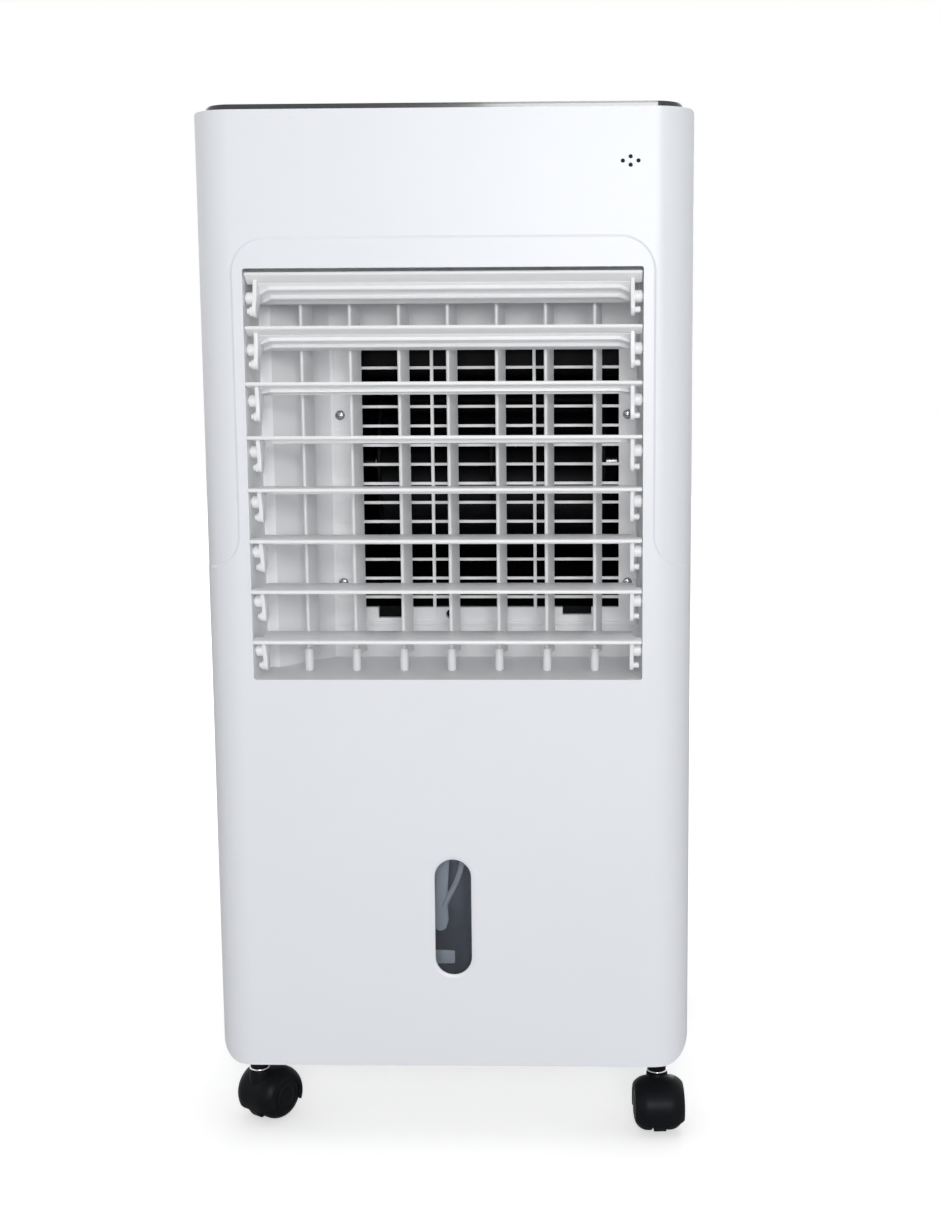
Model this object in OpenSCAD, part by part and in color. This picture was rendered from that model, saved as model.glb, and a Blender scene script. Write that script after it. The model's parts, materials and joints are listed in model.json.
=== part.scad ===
// Portable evaporative air cooler: a white upright cabinet on four twin-wheel castors.
// Air enters at the rear through a wet pad, a drum blower pushes it out at the front,
// and eight hand-set slats and seven swinging vanes steer it.
// Origin: on the floor, under the middle of the whole object. +Z is up, the front faces -Y.

/* [Cabinet] */
// Width of the cabinet
body_w = 300; // [290:1:360]
// Depth of the cabinet, front face to rear face
body_d = 280; // [276:1:340]
// Height of the cabinet, without castors and top panel
body_h = 589.5; // [584:0.5:710]
// Wall of the moulded shells
wall = 2.5; // [2:0.1:3]
// Radius of the upright corners
corner_r = 24; // [20:1:28]
// Radius of the rounded lower side edges
foot_r = 16; // [13:1:18]
// Radius of the upper side edges
crown_r = 3; // [2:0.5:6]
// Clear height under the cabinet
ground_gap = 54; // [50:1:64]
// Distance from the front face to the seam between the two shells
seam_in = 140; // [110:1:160]
// Step between the raised apron and the band around it
relief = 1; // [0.6:0.1:1.6]
// Free space between pieces that only lie against each other
fit = 0.2; // [0.15:0.05:0.3]
// Radial play of every pin in its hole
play = 0.05; // [0.03:0.01:0.08]

/* [Air outlet] */
// Width of the outlet in the front face
outlet_w = 239; // [200:1:246]
// Height of the outlet
outlet_h = 248.5; // [206:0.5:260]
// Height of the outlet's lower edge above the cabinet's lower edge
outlet_up = 249.3; // [240:0.1:280]
// Distance from the front face to the guard's seat
duct_len = 88; // [84:1:96]
// Margin of the raised apron beside and above the outlet
apron_margin = 6; // [4:0.5:8]
// Height of the apron above the outlet
apron_rise = 17; // [12:1:20]
// Length of the upper band beside the apron, above the cabinet's lower edge
band_up = 318; // [300:1:340]
// Radius of the apron's corners
apron_r = 20; // [14:1:24]

/* [Slats] */
// Distance from the front face to the slats' axes
slat_axis_in = 9; // [8:0.5:12]
// Free height between the outlet's edges and the outer slat axes
slat_end_gap = 17.2; // [16:0.1:20]
// Reach of a slat's nose in front of its axis
slat_nose = 14.2; // [12:0.1:15]
// Reach of a slat behind its axis
slat_tail = 15.8; // [13:0.1:17]
// Height of a slat's top face above its axis
slat_rise = 9.2; // [7:0.1:9.5]
// Thickness of a slat's blade
slat_t = 2.3; // [1.8:0.1:3]
// Radius of a slat's end boss
slat_boss_r = 3.8; // [3:0.1:4.5]
// Radius of a slat's pin
slat_pin_r = 2.25; // [2:0.05:2.5]
// Free space between a slat's end and the duct wall
slat_side_gap = 0.6; // [0.4:0.1:1]
// Thickness of a slat's end plate
slat_plate_t = 2.4; // [1.8:0.1:3]
// Length of a slat's end boss
slat_boss_len = 4.6; // [4:0.1:6]
// Radius from a slat's axis to its crank pin
slat_crank = 9.6; // [8:0.1:10]
// Tilt at which each slat is left, top to bottom, nose up
slat_tilts = [34, 25, 10, 3, -1, -3, -4, -5.5]; // [-35:0.5:45]

/* [Vanes] */
// Distance from the front face to the vanes' axes
vane_axis_in = 33.5; // [32:0.5:36]
// Free width between the duct walls and the outer vane axes
vane_end_gap = 28.9; // [26:0.1:34]
// Thickness of a vane
vane_t = 2.3; // [1.8:0.1:3]
// Length of a vane behind its axis
vane_tail = 16; // [13:0.5:18]
// Height of the pegs that carry a vane
vane_peg = 10.5; // [8:0.5:12]
// Radius of the pegs
vane_peg_r = 2.75; // [2.2:0.05:3]
// Radius of the pins in the duct's floor and roof
vane_pin_r = 1.75; // [1.5:0.05:2]
// Radius from a vane's axis to its crank pin
vane_crank = 12; // [10:0.5:13]
// Turn at which the vanes are left, rear edges to the right
vane_yaw = 14; // [0:1:20]

/* [Guard and blower] */
// Width of the guard's hole and of the blower's mouth
mouth_w = 168; // [140:1:172]
// Height of the guard's hole and of the blower's mouth
mouth_h = 169; // [140:1:190]
// Drop of the mouth's middle below the outlet's middle
mouth_drop = 6.15; // [0:0.05:8]
// Free space between the guard's right edge and the duct wall
guard_side_gap = 1.6; // [1:0.1:3]
// Rim of the guard at the right of its hole
guard_rim_right = 11.5; // [10:0.5:13]
// Rim of the guard at the left of its hole
guard_rim_left = 20; // [16:0.5:22]
// Rim of the guard above and below its hole
guard_rim = 12; // [10:0.5:14]
// Thickness of the guard
guard_t = 3; // [2:0.5:4]
// Spacing of the guard's bars
bar_pitch = 12.5; // [10:0.5:15]
// Height of a guard bar
bar_t = 1.8; // [1.4:0.1:2.4]
// Wall of the blower casing
casing_t = 2; // [1.6:0.1:2.5]
// Radius of the fan wheel
fan_r = 62; // [52:1:64]
// Number of blades on the fan wheel
fan_blades = 30; // [20:1:40]
// Radius of the fan shaft
shaft_r = 4; // [3:0.5:5]
// Radius of the fan motor
motor_r = 40; // [34:1:42]
// Length of the fan motor
motor_len = 40; // [32:1:44]

/* [Water] */
// Half width of the tank
tank_half_w = 104; // [90:1:106]
// Height of the tank
tank_h = 139; // [120:1:142]
// Wall of the tank
tank_t = 2.2; // [1.8:0.1:3]
// How far the tank slides out for filling
tank_travel = 90; // [60:1:92]
// Distance from the front face to the pump's axis
pump_in = 130; // [128:1:136]
// Sideways place of the pump
pump_x = -14; // [-30:1:10]
// Height of the pump's body
pump_h = 40; // [30:1:46]
// Radius of the riser hose
hose_r = 4.5; // [3.5:0.5:5]
// Height of the drip deck above the cabinet's lower edge
deck_up = 158; // [154:1:162]
// Width of the level window
window_w = 23; // [18:1:28]
// Height of the level window
window_h = 75; // [60:1:90]
// Height of the window's lower end above the cabinet's lower edge
window_up = 60; // [50:1:70]

/* [Rear intake] */
// Half width of the intake opening
intake_half_w = 115; // [100:1:117]
// Height of the intake's lower edge above the cabinet's lower edge
intake_up = 184; // [180:1:200]
// Free height between the intake's upper edge and the cabinet's top
intake_drop = 42; // [40:1:60]
// Depth of the tunnel that holds the pad cassette
cassette_d = 25; // [20:1:28]
// How far the grille stands out of the rear face
grille_out = 4; // [3:0.5:5]
// Spacing of the grille's bars
grille_pitch = 9; // [7:0.5:12]

/* [Controls] */
// Inset of the top panel from the cabinet's sides
panel_inset = 7; // [5:0.5:10]
// Thickness of the top panel
panel_t = 4; // [3:0.5:6]
// Radius of a button
button_r = 8; // [6:0.5:10]
// Travel of a button
button_travel = 1; // [0.6:0.1:1.4]
// Spacing of the buttons
button_pitch = 34; // [26:1:40]
// Distance from the front face to the row of buttons
button_in = 62; // [50:1:80]
// Radius of the four receiver holes
receiver_hole_r = 1.25; // [1:0.05:1.5]
// Sideways place of the receiver
receiver_x = 111.5; // [90:0.5:115]
// Distance of the receiver below the cabinet's top
receiver_drop = 31; // [26:1:36]

/* [Castors] */
// Sideways inset of the castors' swivel axes
castor_inset_x = 18.7; // [17:0.1:30]
// Inset of the swivel axes from the front and rear faces
castor_inset_y = 38; // [34:1:50]
// Diameter of the castor wheels
wheel_d = 33; // [30:1:34]
// Width over a pair of wheels
wheel_pair_w = 32; // [28:1:34]
// Distance from a swivel axis to its wheels' axle
trail = 9; // [5:0.5:9]
// Radius of the castor stems
stem_r = 3; // [2.5:0.1:3.2]

/* [Hidden] */
$fn = 48;

white = "#eceef4";
inner_white = "#e2e4ea";
black = "#17181b";
steel = "#b9bcc2";
smoke = "#8b97a6";

// Heights above the floor
low_z = ground_gap;
top_z = low_z + body_h;
outlet_z0 = low_z + outlet_up;
outlet_z1 = outlet_z0 + outlet_h;
outlet_zc = (outlet_z0 + outlet_z1) / 2;
deck_z = low_z + deck_up;
intake_z0 = low_z + intake_up;
intake_z1 = top_z - intake_drop;

// The slats' noses stand in front of the front face and the grille behind the rear one,
// and the origin is midway between them.
slat_out = max([for (t = slat_tilts)
    slat_nose * cos(t) - min(slat_rise * sin(t), (slat_rise - slat_t) * sin(t))]) - slat_axis_in;
outlet_r = 1.5;
front_y = round(50 * (slat_out - grille_out - body_d)) / 100;
mid_y = front_y + body_d / 2;

slat_count = len(slat_tilts);
slat_pitch = (outlet_h - 2 * slat_end_gap) / (slat_count - 1);
slat_half = outlet_w / 2 - slat_side_gap;
slat_plate_out = slat_half - slat_boss_len;
slat_plate_in = slat_plate_out - slat_plate_t;
slat_pin_len = wall - 0.2;

vane_count = 7;
vane_pitch = (outlet_w - 2 * vane_end_gap) / (vane_count - 1);
vane_z0 = outlet_z0 + vane_peg;
crank_pin_r = 1.5;
link_t = 2.5;
link_gap = 1.2;
vane_z1 = outlet_z1 - vane_peg - link_t;
link_z0 = vane_z1 + link_gap;

guard_x1 = outlet_w / 2 - guard_side_gap;
mouth_x1 = guard_x1 - guard_rim_right;
mouth_x0 = mouth_x1 - mouth_w;
guard_x0 = mouth_x0 - guard_rim_left;
mouth_z0 = outlet_zc - mouth_drop - mouth_h / 2;
mouth_z1 = mouth_z0 + mouth_h;
mouth_zc = (mouth_z0 + mouth_z1) / 2;
guard_z0 = mouth_z0 - guard_rim;
guard_z1 = mouth_z1 + guard_rim;
guard_screw_x = [guard_x0 + 6.2, guard_x1 - 5.8];
guard_screw_z = [mouth_z0 + 16.5, mouth_z1 - 42.6];
screw_r = 1.5;
screw_head_r = 3.1;
screw_head_t = 1.8;

seat_in = duct_len + wall;
drum_in = seat_in + 64.5;
drum_r = mouth_h / 2;
fan_in = drum_in + 3;
fan_zc = mouth_zc + 8;
fan_x0 = mouth_x0 + 8;
fan_x1 = mouth_x1 - 8;
fan_hub_r = 14;

tank_z0 = low_z + 7;
tank_z1 = tank_z0 + tank_h;
tank_in = 12;
fascia_z1 = tank_z1 + 6;
fascia_side = 2.4;
fascia_gap = 0.6;
pocket_w = 100;
pocket_h = 30;
pocket_d = 20;
pocket_drop = 6;
pump_z0 = tank_z0 + tank_t + 4;
pump_z1 = pump_z0 + pump_h;
pump_foot = [38, 32];
pump_neck = 10;
hose_run_z = deck_z + 32;
riser_x = intake_half_w + 3;
riser_in = body_d - wall - cassette_d - 26;
tray_bend = 14;
tray_half_w = intake_half_w + 9;
tray_h = 16;
tunnel_t = 2;
mullions = [-57, 0, 57];
tunnel_in = body_d - wall - cassette_d - 6;
tray_z0 = intake_z1 + tunnel_t + fit;
tray_spigot_z = tray_z0 + tray_h / 2;

base_t = 3;
base_z0 = low_z + wall + fit;
base_lip = 14;
base_hole = [body_w - 2 * foot_r - 20, body_d - 2 * base_lip];
joint_boss_r = 3.2;
joint_places = [
    [-90, 8], [0, 8], [90, 8], [-116, body_d - 9], [116, body_d - 9]
];

panel_size = [body_w - 2 * panel_inset, body_d - 2 * panel_inset];
top_hole = [body_w - 44, body_d - 44];
cover_floor_z = top_z - 10;
board_z1 = top_z - 4.6;
board_t = 1.6;
switch_h = 1;
button_count = 5;
cap_sink = 0.4;
flange_t = 1.1;
button_stalk_r = 2.5;
lens_r = 1.6;
lens_in = 18;

window_x = 1.5;
seam_lip_t = 1.6;
handle_in = 200;
handle_up = 440;
handle_len = 90;
handle_h = 28;
handle_d = 14;

wheel_r = wheel_d / 2;
wheel_shoulder = 9;
hood_gap = 0.7;
hood_t = 1.4;
hood_r = wheel_r + hood_gap + hood_t;
hood_top_z = wheel_r + hood_r + 0.5;
web_t = 8;
web_gap = 0.4;
hood_skirt = 8;
web_floor = 3;
axle_r = 2;
stem_z0 = wheel_r + 8;
collar_z0 = hood_top_z + fit;
socket_r = 6;
socket_top = low_z + 17;
castor_places = [
    [-body_w / 2 + castor_inset_x, castor_inset_y, 145],
    [body_w / 2 - castor_inset_x, castor_inset_y, 4],
    [-body_w / 2 + castor_inset_x, body_d - castor_inset_y, 100],
    [body_w / 2 - castor_inset_x, body_d - castor_inset_y, 195]
];

gland_x = -116;
gland_up = 90;
gland_bore_r = 3.5;
gland_r = 6;
gland_flange_r = 8.5;
latch_z = fascia_z1 + 8;
latch_pin_r = 2;

// A place at a distance behind the front face
function at(depth) = front_y + depth;
function slat_z(i) = outlet_z1 - slat_end_gap - (i - 1) * slat_pitch;
function vane_x(i) = -outlet_w / 2 + vane_end_gap + (i - 1) * vane_pitch;
function button_x(i) = (i - (button_count + 1) / 2) * button_pitch;

// A box between two corners
module block(x0, x1, y0, y1, z0, z1) {
    translate([x0, y0, z0]) cube([x1 - x0, y1 - y0, z1 - z0]);
}

// An outline seen from the front, filled from one depth to another
module facing(d0, d1) {
    translate([0, at(d1), 0]) rotate([90, 0, 0]) linear_extrude(d1 - d0) children();
}

// An outline seen from the right, filled from one X to another
module along_x(x0, x1) {
    translate([x0, 0, 0]) rotate([90, 0, 90]) linear_extrude(x1 - x0) children();
}

// A round bar along X
module bar_x(x0, x1, y, z, r) {
    translate([x0, y, z]) rotate([0, 90, 0]) cylinder(h = x1 - x0, r = r);
}

// A round bar along Y
module bar_y(d0, d1, x, z, r) {
    translate([x, at(d1), z]) rotate([90, 0, 0]) cylinder(h = d1 - d0, r = r);
}

// A round bar along Z
module bar_z(z0, z1, x, y, r) {
    translate([x, y, z0]) cylinder(h = z1 - z0, r = r);
}

module rounded(w, h, r) {
    square([w - 2 * r, h], center = true);
    square([w, h - 2 * r], center = true);
    for (x = [-1, 1], y = [-1, 1]) translate([x * (w / 2 - r), y * (h / 2 - r)]) circle(r);
}

module stadium(w, h) {
    square([w, h - w], center = true);
    for (s = [-1, 1]) translate([0, s * (h - w) / 2]) circle(w / 2);
}

// The cabinet's outline from above and from the front, drawn in by an inset
module plan(inset) {
    translate([0, mid_y]) rounded(body_w - 2 * inset, body_d - 2 * inset, corner_r - inset);
}

module front_outline(inset) {
    w = body_w / 2 - inset;
    foot = foot_r - inset;
    crown = max(crown_r - inset, 0.5);
    z0 = low_z + inset;
    z1 = top_z - inset;
    translate([-w, z0 + foot]) square([2 * w, z1 - z0 - foot - crown]);
    translate([-w + foot, z0]) square([2 * (w - foot), foot + 1]);
    translate([-w + crown, z1 - crown - 1]) square([2 * (w - crown), crown + 1]);
    for (s = [-1, 1]) {
        translate([s * (w - foot), z0 + foot]) circle(foot);
        translate([s * (w - crown), z1 - crown]) circle(crown);
    }
}

module cabinet(inset) {
    intersection() {
        linear_extrude(top_z + 10) plan(inset);
        facing(-1, body_d + 1) front_outline(inset);
    }
}

// The raised front: an apron round the outlet that widens to the full front below it
module apron_outline() {
    w = outlet_w + 2 * apron_margin;
    z1 = outlet_z1 + apron_rise;
    translate([0, (low_z + z1) / 2]) rounded(w, z1 - low_z, apron_r);
    translate([-body_w / 2, low_z]) square([body_w, band_up]);
    difference() {
        translate([-body_w / 2, low_z + 1]) square([body_w, band_up + apron_r - 1]);
        for (s = [-1, 1]) {
            translate([s * (w / 2 + apron_r), low_z + band_up + apron_r]) circle(apron_r);
            translate([s * (w / 2 + apron_r + body_w / 2), low_z + band_up + apron_r])
                square([body_w, 2 * apron_r], center = true);
        }
    }
}

// The band round the apron lies back by the relief, and meets the sides without a step
module cabinet_skin() {
    difference() {
        cabinet(0);
        difference() {
            facing(-1, corner_r) difference() {
                translate([-body_w / 2 - 1, low_z + band_up - 1]) square([body_w + 2, body_h]);
                apron_outline();
            }
            translate([0, relief, 0]) linear_extrude(top_z + 10) plan(0);
        }
    }
}

module shell_openings() {
    translate([0, mid_y, low_z - 1])
        linear_extrude(wall + 2) rounded(base_hole[0], base_hole[1], 14);
    translate([0, mid_y, top_z - wall - 1])
        linear_extrude(wall + 2) rounded(top_hole[0], top_hole[1], 14);
    for (p = castor_places) bar_z(low_z - 1, low_z + wall + 3, p[0], at(p[1]), socket_r + fit);
    for (p = joint_places) bar_z(low_z - 1, low_z + wall + 1, p[0], at(p[1]), screw_r + 0.5);
}

// The hollow cabinet without the part that lies between two depths
module half_shell(cut_from, cut_to) {
    difference() {
        cabinet_skin();
        cabinet(wall);
        shell_openings();
        block(-body_w, body_w, at(cut_from), at(cut_to), 0, top_z + 20);
    }
}

module outlet_outline() {
    translate([0, outlet_zc]) rounded(outlet_w, outlet_h, outlet_r);
}

// The cut that eases the cabinet's wall down to the level window
module window_funnel() {
    flare = 3;
    depth = 1.6;
    past = 0.4;
    r0 = window_w / 2 + flare * (depth + past) / depth;
    translate([window_x, at(-past), low_z + window_up + window_h / 2]) {
        for (s = [-1, 1]) translate([0, 0, s * (window_h - window_w) / 2]) rotate([-90, 0, 0])
            cylinder(h = depth + past, r1 = r0, r2 = window_w / 2);
        linear_extrude(window_h - window_w, center = true) polygon([
            [-r0, 0], [r0, 0], [window_w / 2, depth + past], [-window_w / 2, depth + past]]);
    }
}

module receiver_holes() {
    for (p = [[4.6, 0], [-4.6, 0], [0, 2.4], [0, -2.4]])
        bar_y(-5, wall + 5, receiver_x + p[0], top_z - receiver_drop + p[1], receiver_hole_r);
}

module front_shell() {
    lip_root = 8;
    lip_reach = 6;
    lip_h = body_h - 60;
    color(white) {
        difference() {
            half_shell(seam_in, body_d + 20);
            facing(-5, wall + 5) outlet_outline();
            facing(-5, wall + 5) translate([window_x, low_z + window_up + window_h / 2])
                stadium(window_w, window_h);
            window_funnel();
            receiver_holes();
        }
        // Lips inside the seam: each starts on this shell's wall and runs on past its edge
        for (s = [-1, 1]) {
            x = s * (body_w / 2 - wall - seam_lip_t / 2);
            translate([x, at(seam_in) - lip_root / 2, (low_z + top_z) / 2])
                cube([seam_lip_t + 0.02, lip_root, lip_h], center = true);
            translate([x - s * fit / 2, at(seam_in) + lip_reach / 2 - 0.1, (low_z + top_z) / 2])
                cube([seam_lip_t - fit, lip_reach, lip_h], center = true);
        }
    }
}

// The hand holds in both sides, grown all round and run past the outer faces
module handle_pocket(grow, past) {
    reach = handle_d + grow + past;
    for (x = [-body_w / 2 - past, body_w / 2 - handle_d - grow])
        translate([x, at(handle_in), low_z + handle_up]) rotate([0, 90, 0])
            linear_extrude(reach) rounded(handle_h + 2 * grow, handle_len + 2 * grow, 8 + grow);
}

module rear_shell() {
    tunnel_h = intake_z1 - intake_z0;
    tunnel_zc = (intake_z0 + intake_z1) / 2;
    drain_edge = 12;
    color(white) {
        difference() {
            union() {
                half_shell(-20, seam_in);
                intersection() {
                    cabinet(0);
                    handle_pocket(wall, 0);
                    block(-body_w, body_w, at(seam_in), at(body_d), low_z, top_z);
                }
            }
            handle_pocket(0, 5);
            facing(body_d - wall - 1, body_d + 5) translate([0, tunnel_zc])
                square([2 * intake_half_w, tunnel_h], center = true);
            facing(body_d - wall - 1, body_d + 5)
                translate([0, (tank_z0 + fascia_z1) / 2])
                    square([2 * (tank_half_w + fascia_side + fascia_gap),
                        fascia_z1 - tank_z0 + 2 * fascia_gap], center = true);
            bar_y(body_d - wall - 1, body_d + 1, gland_x, low_z + gland_up, gland_r + play);
            bar_y(body_d - wall - 1, body_d + 1, 0, latch_z, latch_pin_r + play);
        }
        difference() {
            facing(tunnel_in, body_d - wall + 0.01) translate([0, tunnel_zc])
                square([2 * (intake_half_w + tunnel_t), tunnel_h + 2 * tunnel_t], center = true);
            facing(tunnel_in - 1, body_d + 1) translate([0, tunnel_zc])
                square([2 * intake_half_w, tunnel_h], center = true);
            block(-intake_half_w + drain_edge, intake_half_w - drain_edge,
                at(tunnel_in + 8), at(tunnel_in + 22), intake_z1 - 1, intake_z1 + tunnel_t + 1);
        }
    }
}

module base_pan() {
    rail_x = 70;
    rail_w = 10;
    socket_wall = 2.2;
    color(inner_white) difference() {
        intersection() {
            cabinet(wall + fit);
            union() {
                block(-body_w, body_w, at(0), at(body_d), low_z, base_z0 + base_t);
                for (s = [-1, 1])
                    block(s * rail_x - rail_w / 2, s * rail_x + rail_w / 2, at(22), at(body_d - 22),
                        base_z0 + base_t - 1, tank_z0 - 0.3);
                for (p = castor_places)
                    bar_z(base_z0, socket_top + 2, p[0], at(p[1]), socket_r + socket_wall);
                for (p = joint_places) bar_z(base_z0, low_z + 14, p[0], at(p[1]), joint_boss_r);
            }
        }
        for (p = castor_places) bar_z(low_z, socket_top, p[0], at(p[1]), socket_r + play);
        for (p = joint_places) bar_z(low_z, low_z + 12, p[0], at(p[1]), screw_r + play);
    }
}

module top_cover() {
    floor_t = 1.8;
    rim_w = 8;
    rim_t = 2;
    color(inner_white) translate([0, mid_y, 0]) difference() {
        union() {
            translate([0, 0, cover_floor_z])
                linear_extrude(top_z - fit - cover_floor_z)
                    rounded(top_hole[0] - 1, top_hole[1] - 1, 14);
            translate([0, 0, top_z - wall - fit - rim_t])
                linear_extrude(rim_t) rounded(top_hole[0] + 2 * rim_w, top_hole[1] + 2 * rim_w, 18);
        }
        translate([0, 0, cover_floor_z + floor_t])
            linear_extrude(20) rounded(top_hole[0] - 6, top_hole[1] - 6, 12);
    }
    color(inner_white) for (s = [-1, 1], d = [-14, 14])
        bar_z(cover_floor_z + floor_t - 0.1, board_z1 - board_t, s * 74, at(button_in + d), 3);
}

module control_panel() {
    color(black) translate([0, mid_y, top_z]) difference() {
        union() {
            linear_extrude(panel_t - 1) rounded(panel_size[0], panel_size[1], corner_r - panel_inset);
            linear_extrude(panel_t)
                rounded(panel_size[0] - 2, panel_size[1] - 2, corner_r - panel_inset - 1);
        }
        for (i = [1:button_count]) translate([button_x(i), at(button_in) - mid_y, -1])
            cylinder(h = panel_t + 2, r = button_r + 0.2);
        for (i = [1:button_count]) translate([button_x(i), at(button_in + lens_in) - mid_y, -1])
            cylinder(h = panel_t + 2, r = lens_r + play);
    }
}

module control_board() {
    color("#2f6b45")
        block(-84, 84, at(button_in - 20), at(button_in + 26), board_z1 - board_t, board_z1);
    color(black) for (i = [1:button_count])
        block(button_x(i) - 3, button_x(i) + 3, at(button_in - 3), at(button_in + 3),
            board_z1, board_z1 + switch_h);
}

module indicator_lenses() {
    color("#9fd7ff") for (i = [1:button_count])
        bar_z(board_z1 + 0.3, top_z + panel_t - 0.2, button_x(i), at(button_in + lens_in), lens_r);
}

module button(i) {
    cap_z1 = top_z + panel_t - cap_sink;
    color("#2b2d31") {
        bar_z(top_z - fit - 0.1, cap_z1, button_x(i), at(button_in), button_r);
        bar_z(top_z - fit - flange_t, top_z - fit, button_x(i), at(button_in), button_r + 1);
        bar_z(board_z1 + switch_h + button_travel + 0.2, top_z - fit - flange_t + 0.1,
            button_x(i), at(button_in), button_stalk_r);
    }
}

// The window's flange lies inside the wall and its pane stands in the wall's opening
module level_window() {
    flange = 4;
    pane_in = 1.6;
    slack = 0.3;
    color(smoke, 0.5) translate([window_x, 0, low_z + window_up + window_h / 2]) {
        facing(wall + fit, wall + 2.2) stadium(window_w + 2 * flange, window_h + 2 * flange);
        facing(pane_in, wall + fit + 0.1) stadium(window_w - slack, window_h - slack);
    }
}

module ir_receiver() {
    half_w = 9;
    half_h = 7;
    z = top_z - receiver_drop;
    color(black) block(receiver_x - half_w, receiver_x + half_w, at(wall + fit), at(wall + 8),
        z - half_h, z + half_h);
}

module louvre_frame() {
    flange = 9;
    post_in = 48;
    post_x = -outlet_w / 2 + 7;
    color(inner_white) difference() {
        union() {
            difference() {
                union() {
                    facing(wall + fit, 2 * wall + fit) translate([0, outlet_zc])
                        rounded(outlet_w + 2 * flange, outlet_h + 2 * flange, 4);
                    facing(wall + fit, seat_in) translate([0, outlet_zc])
                        square([outlet_w + 2 * wall, outlet_h + 2 * wall], center = true);
                }
                facing(0, duct_len) translate([0, outlet_zc])
                    square([outlet_w, outlet_h], center = true);
                facing(0, seat_in + 1) translate([(mouth_x0 + mouth_x1) / 2, mouth_zc])
                    square([mouth_w, mouth_h], center = true);
                facing(0, seat_in + 1) guard_slots();
            }
            // Slanted wall that narrows the duct towards the guard's left edge
            translate([0, 0, outlet_z0 - 0.1]) linear_extrude(outlet_h + 0.2) polygon([
                [-outlet_w / 2 - 0.1, at(post_in)], [post_x, at(post_in)],
                [guard_x0 - 0.4, at(duct_len + 0.1)], [guard_x0 - 2.8, at(duct_len + 0.1)],
                [post_x - 2, at(post_in + 3)], [-outlet_w / 2 - 0.1, at(post_in + 3)]]);
        }
        for (i = [1:slat_count])
            bar_x(-outlet_w, outlet_w, at(slat_axis_in), slat_z(i), slat_pin_r + play);
        for (i = [1:vane_count]) {
            bar_z(outlet_z0 - wall - 1, outlet_z0 + 1, vane_x(i), at(vane_axis_in), vane_pin_r + play);
            bar_z(outlet_z1 - 1, outlet_z1 + wall + 1, vane_x(i), at(vane_axis_in), vane_pin_r + play);
        }
        for (x = guard_screw_x, z = guard_screw_z)
            bar_y(duct_len - 1, seat_in + 1, x, z, screw_r + play);
    }
}

module guard_outline() {
    translate([guard_x0, guard_z0]) square([guard_x1 - guard_x0, guard_z1 - guard_z0]);
}

// Notches and an eye under the guard's hole
module guard_slots() {
    translate([mouth_x0 + 9, mouth_z0 - 7]) square([17, 8]);
    translate([mouth_x1 - 37, mouth_z0 - 5]) square([19, 6]);
    translate([mouth_x0 + 57, mouth_z0 - 4.6]) circle(3.2);
}

module outlet_guard() {
    d0 = duct_len - guard_t;
    top_gap = 12.2;
    rows = floor((mouth_h - top_gap - 4) / bar_pitch) + 1;
    side_ribs = 5;
    side_pitch = 31;
    rib_t = 1.6;
    color(white) {
        difference() {
            facing(d0, duct_len) guard_outline();
            facing(d0 - 1, duct_len + 1) translate([(mouth_x0 + mouth_x1) / 2, mouth_zc])
                square([mouth_w, mouth_h], center = true);
            facing(d0 - 1, duct_len + 1) guard_slots();
            for (x = guard_screw_x, z = guard_screw_z)
                bar_y(d0 - 1, duct_len + 1, x, z, screw_r + play);
        }
        for (k = [0:rows - 1]) {
            z = mouth_z1 - top_gap - k * bar_pitch;
            block(mouth_x0 - 1, mouth_x1 + 1, at(d0 + 0.4), at(duct_len - 0.2),
                z - bar_t / 2, z + bar_t / 2);
        }
        for (x = [mouth_x0 + 46.4, mouth_x0 + 113])
            block(x - 1, x + 1, at(d0 - 0.6), at(duct_len - 0.6), guard_z0 + 1, mouth_z1 + 1);
        block(guard_x0 + 10, guard_x1 - 10, at(d0 - 1.5), at(d0 + 0.1),
            guard_z0 + 1, guard_z0 + 1 + rib_t);
        for (k = [1:side_ribs]) {
            z = guard_z0 + 4 + k * side_pitch;
            block(guard_x0 + 2, mouth_x0 - 3, at(d0 - 1.2), at(d0 + 0.1), z, z + rib_t);
        }
    }
}

module guard_screws() {
    color(steel) for (x = guard_screw_x, z = guard_screw_z) {
        bar_y(duct_len - guard_t - screw_head_t, duct_len - guard_t, x, z, screw_head_r);
        bar_y(duct_len - guard_t - 0.1, seat_in + casing_t + 4, x, z, screw_r);
    }
}

module shell_screws() {
    color(steel) for (p = joint_places) {
        bar_z(low_z - screw_head_t, low_z, p[0], at(p[1]), screw_head_r);
        bar_z(low_z - 0.1, low_z + 11, p[0], at(p[1]), screw_r);
    }
}

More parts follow.
